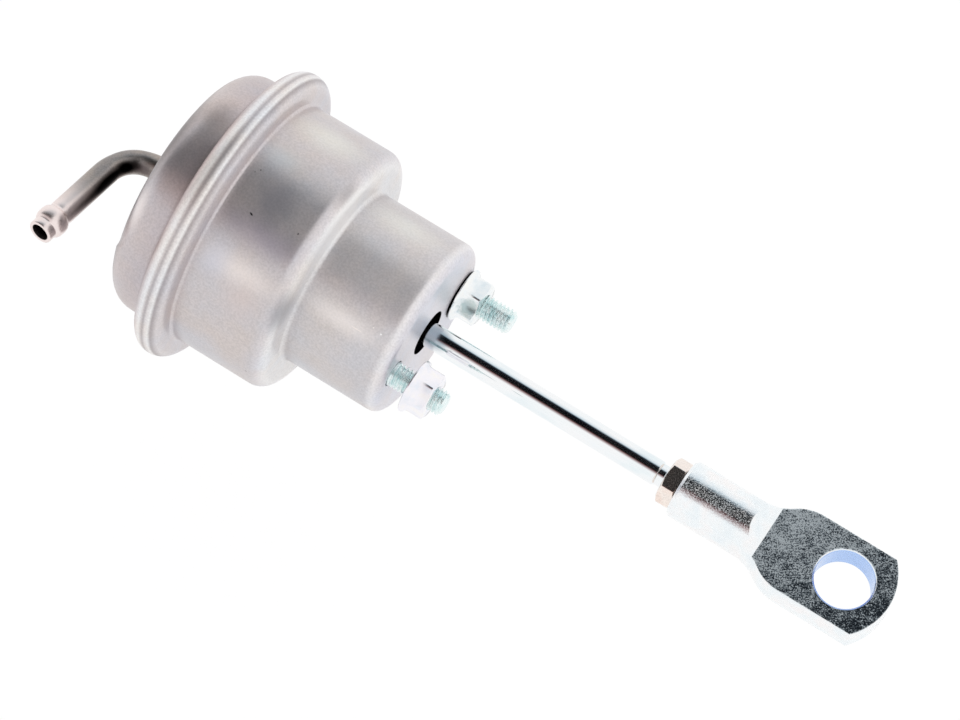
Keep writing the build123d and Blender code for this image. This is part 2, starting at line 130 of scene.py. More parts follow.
def add_node(
    tree: Tree,
    kind: str,
    settings: dict[str, Any] | None = None,
    values: dict[Any, Any] | None = None,
    links: dict[Any, Socket] | None = None,
) -> bpy.types.Node:
    """Adds one node to a tree.

    Args:
        tree: the node tree that takes it.
        kind: the node's Blender type.
        settings: the node's own properties.
        values: constants for its input sockets, by name or number.
        links: output sockets of other nodes for its input sockets, by name or number.

    Returns:
        The new node.
    """
    node = tree.nodes.new(kind)
    for name, value in (settings or {}).items():
        setattr(node, name, value)
    for name, value in (values or {}).items():
        node.inputs[name].default_value = value
    for name, socket in (links or {}).items():
        tree.links.new(socket, node.inputs[name])
    return node


def ranged(
    tree: Tree, value: Socket, low: float, high: float,
    to_low: float = 0.0, to_high: float = 1.0, smooth: bool = False,
) -> Socket:
    """Maps a value from one range to another one, and holds it inside that one.

    Args:
        tree: the node tree.
        value: the value.
        low: the value that gives to_low.
        high: the value that gives to_high.
        to_low: the new range's start.
        to_high: the new range's end.
        smooth: whether the ends are soft.

    Returns:
        The mapped value.
    """
    return add_node(
        tree, "ShaderNodeMapRange", {"interpolation_type": "SMOOTHSTEP" if smooth else "LINEAR"},
        {"From Min": low, "From Max": high, "To Min": to_low, "To Max": to_high}, {"Value": value},
    ).outputs["Result"]


def worked_out(tree: Tree, operation: str, *operands: Socket | float) -> Socket:
    """Works out one step of arithmetic.

    Args:
        tree: the node tree.
        operation: the step, as Blender names it.
        operands: what it works on, each a socket or a constant.

    Returns:
        The result.
    """
    values = {k: operand for k, operand in enumerate(operands) if isinstance(operand, float)}
    links = {k: operand for k, operand in enumerate(operands) if not isinstance(operand, float)}
    return add_node(tree, "ShaderNodeMath", {"operation": operation}, values, links).outputs["Value"]


def ramped(tree: Tree, value: Socket, stops: list[tuple[float, tuple[float, ...]]]) -> Socket:
    """Turns a value into a colour.

    Args:
        tree: the node tree.
        value: the value, from 0 to 1.
        stops: each stop's place from 0 to 1 and its linear colour.

    Returns:
        The colour.
    """
    node = add_node(tree, "ShaderNodeValToRGB", links={"Fac": value})
    ramp = node.color_ramp
    while len(ramp.elements) < len(stops):
        ramp.elements.new(1.0)
    for element, (place, colour) in zip(ramp.elements, stops):
        element.position = place
        element.color = colour
    return node.outputs["Color"]


def overlaid(tree: Tree, share: Socket, under: Socket, over: Socket | str) -> Socket:
    """Lays a colour over another one.

    Args:
        tree: the node tree.
        share: how much of the upper colour shows, from 0 to 1.
        under: the lower colour.
        over: the upper colour, as a socket or as #rrggbb.

    Returns:
        The mixed colour.
    """
    links = {"Factor": share, "A": under}
    if isinstance(over, str):
        mix = add_node(tree, "ShaderNodeMix", {"data_type": "RGBA"}, {"B": linear(over)}, links)
    else:
        mix = add_node(tree, "ShaderNodeMix", {"data_type": "RGBA"}, links={**links, "B": over})
    return mix.outputs["Result"]


# Mesh helpers

# The share of a sheet's thickness that is broken off its sheared edges, and the sides of a drilled hole
EDGE_BREAK = 0.12
HOLE_COLUMNS = 48


def fillet(points: list[Point], radii: list[float], step_deg: float = 9.0) -> list[Point]:
    """Rounds the inner corners of an open outline.

    Args:
        points: the outline's corners.
        radii: one radius for each corner but the first and the last.
        step_deg: the largest turn between two points of an arc.

    Returns:
        The outline with its arcs as points.
    """
    rounded = [points[0]]
    for before, corner, after, radius in zip(points, points[1:], points[2:], radii):
        here = Vector(corner)
        back = (Vector(before) - here).normalized()
        ahead = (Vector(after) - here).normalized()
        half = math.acos(max(-1.0, min(1.0, back.dot(ahead)))) / 2
        reach = radius / math.tan(half)
        centre = here + (back + ahead).normalized() * radius / math.sin(half)
        start = here + back * reach - centre
        turn = math.pi - 2 * half
        side = 1.0 if back.x * ahead.y - back.y * ahead.x < 0 else -1.0
        count = max(2, math.ceil(math.degrees(turn) / step_deg))
        for k in range(count + 1):
            angle = side * turn * k / count
            rounded.append((
                centre.x + start.x * math.cos(angle) - start.y * math.sin(angle),
                centre.y + start.x * math.sin(angle) + start.y * math.cos(angle),
            ))
    rounded.append(points[-1])
    return rounded


def divided(points: list[Point], longest: float) -> list[Point]:
    """Divides the long runs of an outline.

    Args:
        points: the outline.
        longest: the longest run that is left.

    Returns:
        The outline with more points on its long runs.
    """
    result = [points[0]]
    for start, end in zip(points, points[1:]):
        count = max(1, math.ceil(math.dist(start, end) / longest))
        for k in range(1, count + 1):
            share = k / count
            result.append((start[0] + (end[0] - start[0]) * share, start[1] + (end[1] - start[1]) * share))
    return result


def sheet_section(points: list[Point], radii: list[float], thickness: float, longest: float) -> list[Point]:
    """The closed section of a bent sheet.

    Args:
        points: the sheet's mid-line corners, as (x, radius).
        radii: the mid-line's bend radii.
        thickness: the sheet's thickness.
        longest: the longest run between two points.

    Returns:
        The closed outline, with its sheared edges just broken.
    """
    line = divided(fillet(points, radii), longest)
    middle = [Vector(p) for p in line]
    sides: tuple[list[Vector], list[Vector]] = ([], [])
    for k, point in enumerate(middle):
        ahead = middle[min(k + 1, len(middle) - 1)] - point
        behind = point - middle[max(k - 1, 0)]
        along = (ahead.normalized() + behind.normalized()).normalized()
        across = Vector((-along.y, along.x)) * thickness / 2
        sides[0].append(point + across)
        sides[1].append(point - across)
    broken = thickness * EDGE_BREAK
    closed = []
    for side in (sides[0], sides[1][::-1]):
        first = (side[1] - side[0]).normalized() * broken
        last = (side[-2] - side[-1]).normalized() * broken
        closed += [side[0] + first, *side[1:-1], side[-1] + last]
        closed.append(side[-1] + (sides[1][-1] - sides[0][-1]) * (EDGE_BREAK if side is sides[0] else 0.0))
    return [(p.x, p.y) for p in closed]


def new_mesh(name: str, vertices: np.ndarray, faces: list[tuple[int, ...]]) -> Piece:
    """Makes an object from vertices in millimetres.

    Args:
        name: the piece's name.
        vertices: one row of x, y, z for each vertex.
        faces: vertex numbers of each face.

    Returns:
        The new object, linked to the scene.
    """
    mesh = bpy.data.meshes.new(name)
    mesh.from_pydata((vertices * MM).tolist(), [], faces)
    mesh.validate()
    piece = bpy.data.objects.new(name, mesh)
    bpy.context.scene.collection.objects.link(piece)
    return piece


def shade(piece: Piece, sharp_deg: float = 32.0) -> None:
    """Turns a piece's faces outwards and shades it smooth up to an angle.

    Args:
        piece: the piece.
        sharp_deg: edges that turn by more than this stay sharp.
    """
    work = bmesh.new()
    work.from_mesh(piece.data)
    bmesh.ops.recalc_face_normals(work, faces=work.faces)
    for face in work.faces:
        face.smooth = True
    for edge in work.edges:
        edge.smooth = len(edge.link_faces) != 2 or edge.calc_face_angle() < math.radians(sharp_deg)
    work.to_mesh(piece.data)
    work.free()


def grid_faces(rows: int, columns: int, close_rows: bool) -> list[tuple[int, ...]]:
    """The quads of a grid whose columns go once round.

    Args:
        rows: the number of rings.
        columns: the number of vertices in each ring.
        close_rows: whether the last ring joins the first.

    Returns:
        Vertex numbers of each quad.
    """
    faces = []
    for row in range(rows if close_rows else rows - 1):
        after = (row + 1) % rows
        for column in range(columns):
            beside = (column + 1) % columns
            faces.append((
                row * columns + column, row * columns + beside,
                after * columns + beside, after * columns + column,
            ))
    return faces


def turned(
    name: str,
    section: Callable[[float], list[Point]],
    columns: int,
    closed: bool = True,
    start_deg: float = 0.0,
    centre_y: float = 0.0,
) -> Piece:
    """Turns a section about the X axis; the section may change with the angle.

    Args:
        name: the piece's name.
        section: gives the (x, radius) points at an angle in radians, always as many.
        columns: the number of points round the axis.
        closed: whether the section closes on itself; an open one ends in caps.
        start_deg: the angle of the first column.
        centre_y: how far the axis stands off in Y.

    Returns:
        The turned piece.
    """
    angles = [math.radians(start_deg) + math.tau * k / columns for k in range(columns)]
    outlines = np.array([section(angle) for angle in angles])
    rows = outlines.shape[1]
    turn = np.array([(math.cos(angle), math.sin(angle)) for angle in angles])
    vertices = np.empty((rows, columns, 3))
    vertices[:, :, 0] = outlines[:, :, 0].T
    vertices[:, :, 1] = outlines[:, :, 1].T * turn[:, 0] + centre_y
    vertices[:, :, 2] = outlines[:, :, 1].T * turn[:, 1]
    faces = grid_faces(rows, columns, closed)
    if not closed:
        faces.append(tuple(range(columns)))
        faces.append(tuple((rows - 1) * columns + k for k in range(columns)))
    piece = new_mesh(name, vertices.reshape(-1, 3), faces)
    shade(piece)
    return piece


def drill(piece: Piece, start: Point, depth: float, radius: float) -> None:
    """Cuts a round hole along X through a piece.

    Args:
        piece: the piece, whose mesh is changed.
        start: the drill's first x and its distance from the axis in Y.
        depth: how far it goes in +X.
        radius: the hole's radius.
    """
    x_start, y_centre = start
    bit = turned(
        "drill_bit", lambda angle: [(x_start, radius), (x_start + depth, radius)], HOLE_COLUMNS,
        closed=False, centre_y=y_centre,
    )
    cut = piece.modifiers.new("hole", "BOOLEAN")
    cut.operation = "DIFFERENCE"
    cut.solver = "EXACT"
    cut.object = bit
    result = bpy.data.meshes.new_from_object(piece.evaluated_get(bpy.context.evaluated_depsgraph_get()))
    piece.modifiers.clear()
    piece.data = result
    bpy.data.objects.remove(bit)
    shade(piece)


def hand_in(
    piece: Piece, body: Body, slot: Slot, material: Material, *nodes: str,
) -> None:
    """Dresses a new piece and puts it on its body.

    Args:
        piece: the piece.
        body: the body that it moves with.
        slot: the record's material slot; not used.
        material: its finish.
        nodes: the CAD nodes that it stands for.
    """
    piece.data.materials.clear()
    piece.data.materials.append(material)
    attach(piece, body.value)
    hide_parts(*nodes)
    log.info("%s: %d faces", piece.name, len(piece.data.polygons))


def dress(node: str, material: Material) -> None:
    """Gives a CAD node, whose shape is right as it is, its finish.

    Args:
        node: the node's name.
        material: its finish.
    """
    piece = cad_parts[node]
    piece.data.materials.clear()
    piece.data.materials.append(material)
    log.info("%s: the solid's own shape, %d faces", node, len(piece.data.polygons))


def part_of(name: str, node: str, taken: Callable[[Vector], bool]) -> Piece:
    """A piece made of some of a CAD node's faces.

    Args:
        name: the new piece's name.
        node: the CAD node, which stays as it is.
        taken: says of a face's middle, in metres, whether the face is taken.

    Returns:
        The new piece, linked to the scene.
    """
    work = bmesh.new()
    work.from_mesh(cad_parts[node].data)
    left_out = [face for face in work.faces if not taken(face.calc_center_median())]
    bmesh.ops.delete(work, geom=left_out, context="FACES")
    mesh = bpy.data.meshes.new(name)
    work.to_mesh(mesh)
    work.free()
    piece = bpy.data.objects.new(name, mesh)
    bpy.context.scene.collection.objects.link(piece)
    return piece


def smooth_step(value: float, low: float, high: float) -> float:
    """Rises from 0 at low to 1 at high with soft ends."""
    share = min(1.0, max(0.0, (value - low) / (high - low)))
    return share * share * (3 - 2 * share)


# Finishes


# The parts of a noise's range that hold nearly all of its values, and the stops of the tints in it
CLOUD_ROUGHNESS = 0.55
GLOSS_LOW, GLOSS_HIGH = 0.3, 0.7
GRAIN_LOW, GRAIN_HIGH = 0.35, 0.65
COOL_STOP, BASE_STOP, WARM_STOP = 0.32, 0.5, 0.68


@dataclass(frozen=True)
class Finish:
    """A metal or rubber surface with mottled colour, grain and small unevenness.

    Each length is the real size of that mark in millimetres. Every method below that takes a tree
    adds its nodes to it, and the place that it takes is the object's own, in millimetres.
    """

    name: str
    base: str
    tint_warm: str
    tint_cool: str
    metallic: float
    roughness: float
    roughness_spread: float
    patch_mm: float
    grain_mm: float
    grain_height_mm: float
    wave_mm: float = 6.0
    wave_height_mm: float = 0.0
    grain_tint: float = 0.0
    stretch: tuple[float, float, float] = (1.0, 1.0, 1.0)

    def material(self) -> Material:
        """Builds the material.

        Returns:
            The new material, with its output linked.
        """
        material = bpy.data.materials.new(self.name)
        material.use_nodes = True
        tree = material.node_tree
        tree.nodes.clear()
        place = self.place(tree)
        metal = self.metal(tree, place)
        links = {
            "Base Color": self.marked(tree, place, self.grained(tree, place, self.colour(tree, place))),
            "Roughness": self.gloss(tree, place),
            "Normal": self.relief(tree, place),
        }
        if metal:
            links["Metallic"] = metal
        shader = add_node(tree, "ShaderNodeBsdfPrincipled", values={"Metallic": self.metallic}, links=links)
        add_node(tree, "ShaderNodeOutputMaterial", links={"Surface": shader.outputs["BSDF"]})
        return material

    def place(self, tree: Tree) -> Socket:
        """Gives the object's own place in millimetres.

        Args:
            tree: the material's tree.

        Returns:
            The place.
        """
        where = add_node(tree, "ShaderNodeTexCoord").outputs["Object"]
        scale = (1 / MM, 1 / MM, 1 / MM)
        return add_node(
            tree, "ShaderNodeMapping", values={"Scale": scale}, links={"Vector": where},
        ).outputs["Vector"]

    def noise(self, tree: Tree, place: Socket, size_mm: float, detail: float) -> Socket:
        """Gives cloudy noise, its clouds longer along the grain.

        Args:
            tree: the material's tree.
            place: the place in millimetres.
            size_mm: about how wide a cloud is.
            detail: how many finer noises lie over the first.

        Returns:
            The noise, around 0.5.
        """
        along = add_node(
            tree, "ShaderNodeMapping", values={"Scale": tuple(1 / s for s in self.stretch)},
            links={"Vector": place},
        )
        return add_node(
            tree, "ShaderNodeTexNoise",
            values={"Scale": 1 / size_mm, "Detail": detail, "Roughness": CLOUD_ROUGHNESS},
            links={"Vector": along.outputs["Vector"]},
        ).outputs["Fac"]

    def colour(self, tree: Tree, place: Socket) -> Socket:
        """Gives the base colour with its warm and cool patches."""
        tints = ((COOL_STOP, self.tint_cool), (BASE_STOP, self.base), (WARM_STOP, self.tint_warm))
        patches = self.noise(tree, place, self.patch_mm, 3.0)
        return ramped(tree, patches, [(stop, linear(tint)) for stop, tint in tints])

    def grained(self, tree: Tree, place: Socket, under: Socket) -> Socket:
        """Darkens the colour here and there at the size of the grain."""
        grain = self.noise(tree, place, self.grain_mm, 2.0)
        depth = ranged(tree, grain, GRAIN_LOW, GRAIN_HIGH, 0.0, self.grain_tint)
        return overlaid(tree, depth, under, "#000000")

    def marked(self, tree: Tree, place: Socket, under: Socket) -> Socket:
        """Adds this finish's own marks; a plain finish has none."""
        return under

    def metal(self, tree: Tree, place: Socket) -> Socket | None:
        """Gives how metallic each place is, where that isn't the same all over."""
        return None

    def gloss(self, tree: Tree, place: Socket) -> Socket:
        """Gives a roughness that drifts from place to place."""
        low, high = self.roughness - self.roughness_spread, self.roughness + self.roughness_spread
        drift = self.noise(tree, place, self.patch_mm / 2, 4.0)
        return ranged(tree, drift, GLOSS_LOW, GLOSS_HIGH, low, high)

    def relief(self, tree: Tree, place: Socket) -> Socket:
        """Raises the slow waves of a surface that was hammered or drawn, then the grain over them.

        Args:
            tree: the material's tree.
            place: the place in millimetres.

        Returns:
            The bent normal.
        """
        wave = add_node(
            tree, "ShaderNodeBump", values={"Strength": 1.0, "Distance": self.wave_height_mm * MM},
            links={"Height": self.noise(tree, place, self.wave_mm, 1.0)},
        )
        grain = add_node(
            tree, "ShaderNodeBump", values={"Strength": 1.0, "Distance": self.grain_height_mm * MM},
            links={"Height": self.noise(tree, place, self.grain_mm, 2.0), "Normal": wave.outputs["Normal"]},
        )
        return grain.outputs["Normal"]


@dataclass(frozen=True)
class Mark:
    """A stain, nick, scratch, painted highlight, painted shadow or painted reflection on a turned surface:
    a soft-edged oval that fades to nothing.
    """

    place: tuple[float, float, float]
    facing_deg: float
    length: float
    width: float
    lean_deg: float
    colour: str
    strength: float
    edge: float = 0.3
    dip_deg: float = 0.0
    frayed: bool = True


def wall_mark(
    x: float, radius: float, angle_deg: float, length: float, width: float, lean_deg: float,
    colour: str, strength: float, edge: float = 0.3, frayed: bool = True,
) -> Mark:
    """A mark on a round wall about the rod's axis.

    Args:
        x: its place along the axis.
        radius: the wall's radius.
        angle_deg: its place round the axis.
        length: its size along the axis.
        width: its size round the axis.
        lean_deg: how far it leans off the axis.
        colour: its colour.
        strength: how much of the colour shows.
        edge: the share of the mark that shows in full.
        frayed: whether the grain breaks its edge.

    Returns:
        The mark.
    """
    angle = math.radians(angle_deg)
    place = (x, radius * math.cos(angle), radius * math.sin(angle))
    return Mark(place, angle_deg, length, width, lean_deg, colour, strength, edge, 0.0, frayed)


@dataclass(frozen=True)
class MarkedFinish(Finish):
    """A finish with single marks, each at its own place, some with edges frayed by the grain."""

    marks: tuple[Mark, ...] = ()
    fray_mm: float = 1.5
    fray: float = 0.5

    def marked(self, tree: Tree, place: Socket, under: Socket) -> Socket:
        """Lays the marks over the colour, one after the other.

        Args:
            tree: the material's tree.
            place: the place in millimetres.
            under: the colour without marks.

        Returns:
            The colour with its marks.
        """
        ragged = ranged(tree, self.noise(tree, place, self.fray_mm, 4.0), 0.0, 1.0, -self.fray, self.fray)
        for mark in self.marks:
            facing, dip, lean = (math.radians(a) for a in (mark.facing_deg, mark.dip_deg, mark.lean_deg))
            spot = add_node(
                tree, "ShaderNodeMapping", {"vector_type": "TEXTURE"},
                {
                    "Location": mark.place, "Rotation": (facing - math.pi / 2, dip, lean),
                    "Scale": (mark.length / 2, mark.width / 2, mark.width / 2),
                },
                {"Vector": place},
            )
            reach = add_node(
                tree, "ShaderNodeVectorMath", {"operation": "LENGTH"}, links={0: spot.outputs["Vector"]},
            ).outputs["Value"]
            if mark.frayed:
                reach = worked_out(tree, "ADD", reach, ragged)
            share = ranged(tree, reach, 1.0, mark.edge, 0.0, mark.strength, smooth=True)
            under = overlaid(tree, share, under, mark.colour)
        return under


@dataclass(frozen=True)
class HeatTintedTube(MarkedFinish):
    """A tube that brazing has browned near its joint, and that is clean at its far end."""

    clean_y: float = -26.0
    brown_y: float = -12.0
    clean: str = "#f3e6e3"

    def marked(self, tree: Tree, place: Socket, under: Socket) -> Socket:
        """Fades the brown out towards the hose end, then lays the marks: dark spots and the painted black
        reflection stripes.
        """
        parts = add_node(tree, "ShaderNodeSeparateXYZ", links={"Vector": place})
        share = ranged(tree, parts.outputs["Y"], self.brown_y, self.clean_y, smooth=True)
        return super().marked(tree, place, overlaid(tree, share, under, self.clean))


@dataclass(frozen=True)
class PressedFlatFinish(Finish):
    """A forging's finish whose pressed flats are painted a dull dark colour that stands for a mirrored dark
    reflection, flecked with painted glints, and whose eye's bore is tinted light blue.
    """

    flat_deg: float = 18.5
    flat_height: float = 3.7
    flat_edge: float = 0.15
    flat_start: float = 89.2
    start_edge: float = 0.2
    eye_x: float = 109.1
    eye_radius: float = 6.9
    eye_edge: float = 0.1
    fleck_mm: float = 0.3
    cloud_mm: float = 2.2
    scratch_mm: tuple[float, float, float] = (7.0, 0.35, 1.0)
    scratch_deg: float = 35.0
    fleck_share: float = 1.5
    cloud_share: float = 0.5
    scratch_share: float = 0.4
    painted_shade_per_mm: float = 0.006
    dark_stop: float = 0.36
    light_stop: float = 0.66
    fleck_dark: str = "#222930"
    fleck_middle: str = "#68727a"
    fleck_light: str = "#d3dce1"
    eye_blue: str = "#a9c6f4"
    flat_metallic: float = 0.5
    pit_low: float = 0.48
    pit_high: float = 0.62

    def shares(self, tree: Tree, place: Socket) -> tuple[Socket, Socket]:
        """How far a place lies on the flats, and how far in the eye's bore.

        Args:
            tree: the material's tree.
            place: the place in millimetres.

        Returns:
            The two shares, each from 0 to 1.
        """
        level = add_node(
            tree, "ShaderNodeMapping", {"vector_type": "TEXTURE"},
            {"Location": (self.eye_x, 0.0, 0.0), "Rotation": (math.radians(self.flat_deg), 0.0, 0.0)},
            {"Vector": place},
        )
        parts = add_node(tree, "ShaderNodeSeparateXYZ", links={"Vector": level.outputs["Vector"]}).outputs
        height = worked_out(tree, "ABSOLUTE", parts["Z"])
        high = ranged(tree, height, self.flat_height, self.flat_height + self.flat_edge)
        start = self.flat_start - self.eye_x
        flat = worked_out(tree, "MULTIPLY", high, ranged(tree, parts["X"], start, start + self.start_edge))
        plan = add_node(tree, "ShaderNodeCombineXYZ", links={"X": parts["X"], "Y": parts["Y"]})
        reach = add_node(
            tree, "ShaderNodeVectorMath", {"operation": "LENGTH"}, links={0: plan.outputs["Vector"]},
        ).outputs["Value"]
        return flat, ranged(tree, reach, self.eye_radius + self.eye_edge, self.eye_radius)

    def marked(self, tree: Tree, place: Socket, under: Socket) -> Socket:
        """Lays the flecked, clouded and scratched slate over the flats and the blue over the bore; the
        slate is a painted dark reflection whose light flecks are painted glints, painted darker towards +X
        and -Y as shade.

        Args:
            tree: the material's tree.
            place: the place in millimetres.
            under: the colour of the round parts.

        Returns:
            The colour all over.
        """
        flat, bore = self.shares(tree, place)
        along_scratches = add_node(
            tree, "ShaderNodeMapping", {"vector_type": "TEXTURE"},
            {"Rotation": (0.0, 0.0, math.radians(self.scratch_deg)), "Scale": self.scratch_mm},
            {"Vector": place},
        )
        scratches = add_node(
            tree, "ShaderNodeTexNoise", values={"Scale": 1.0, "Detail": 3.0},
            links={"Vector": along_scratches.outputs["Vector"]},
        )
        # Painted shade: the flats darken towards +X and -Y
        corner = add_node(
            tree, "ShaderNodeVectorMath", {"operation": "DOT_PRODUCT"},
            {1: (-self.painted_shade_per_mm, self.painted_shade_per_mm, 0.0)}, {0: place},
        )
        layers = (
            (self.noise(tree, place, self.fleck_mm, 4.0), self.fleck_share),
            (self.noise(tree, place, self.cloud_mm, 3.0), self.cloud_share),
            (scratches.outputs["Fac"], self.scratch_share),
        )
        mean = self.painted_shade_per_mm * self.eye_x + (1 - sum(share for _, share in layers)) / 2
        tone = worked_out(tree, "ADD", corner.outputs["Value"], mean)
        for layer, share in layers:
            tone = worked_out(tree, "MULTIPLY_ADD", layer, share, tone)
        # The slate stands for a mirrored dark reflection; its light flecks are painted glints
        slate = ramped(tree, tone, [
            (self.dark_stop, linear(self.fleck_dark)), (0.5, linear(self.fleck_middle)),
            (self.light_stop, linear(self.fleck_light)),
        ])
        return overlaid(tree, bore, overlaid(tree, flat, under, slate), self.eye_blue)

    def metal(self, tree: Tree, place: Socket) -> Socket:
        """Gives bright metal that the pits break up into light flecks, and dull flats.

        Args:
            tree: the material's tree.
            place: the place in millimetres.

        Returns:
            How metallic each place is.
        """
        flat, _ = self.shares(tree, place)
        pits = self.noise(tree, place, self.fleck_mm, 3.0)
        pitted = ranged(tree, pits, self.pit_low, self.pit_high, self.metallic, self.flat_metallic)
        return add_node(
            tree, "ShaderNodeMapRange", values={"To Max": self.flat_metallic},
            links={"Value": flat, "To Min": pitted},
        ).outputs["Result"]


@dataclass(frozen=True)
class PaintedLightBand:
    """One ring of a turned surface: its painted tone, light as a painted highlight or dark as painted
    shade, and how matt its haze is.
    """

    x: float
    tone: str
    haze: float


@dataclass(frozen=True)
class BandPaintedSheet(MarkedFinish):
    """Drawn sheet with painted highlights on its convex corners and painted shade in its roots."""

    bands: tuple[PaintedLightBand, ...] = ()

    def banded(self, tree: Tree, place: Socket, stops: list[tuple[float, tuple[float, ...]]]) -> Socket:
        """Spreads one value for each band along the axis.

        Args:
            tree: the material's tree.
            place: the place in millimetres.
            stops: each band's x and its colour.

        Returns:
            The colour along the axis.
        """
        first, last = stops[0][0], stops[-1][0]
        parts = add_node(tree, "ShaderNodeSeparateXYZ", links={"Vector": place})
        along = ranged(tree, parts.outputs["X"], first, last)
        return ramped(tree, along, [((x - first) / (last - first), colour) for x, colour in stops])

    def marked(self, tree: Tree, place: Socket, under: Socket) -> Socket:
        """Lays the bands' painted highlights and painted shade over the colour, then the marks.

        Args:
            tree: the material's tree.
            place: the place in millimetres.
            under: the colour of plain sheet.

        Returns:
            The colour with bands and marks.
        """
        # Painted light: the bands multiply painted highlights onto the corners and painted shade into the
        # roots
        tones = self.banded(tree, place, [(band.x, linear(band.tone)) for band in self.bands])
        painted_light_and_shade = add_node(
            tree, "ShaderNodeMix", {"data_type": "RGBA", "blend_type": "MULTIPLY"}, {"Factor": 1.0},
            {"A": under, "B": tones},
        )
        return super().marked(tree, place, painted_light_and_shade.outputs["Result"])

    def metal(self, tree: Tree, place: Socket) -> Socket:
        """Gives less metal where a band has more haze, which makes the painted highlights lighter still."""
        bright = [(band.x, 1 - band.haze) for band in self.bands]
        return self.banded(tree, place, [(x, (share, share, share, 1.0)) for x, share in bright])


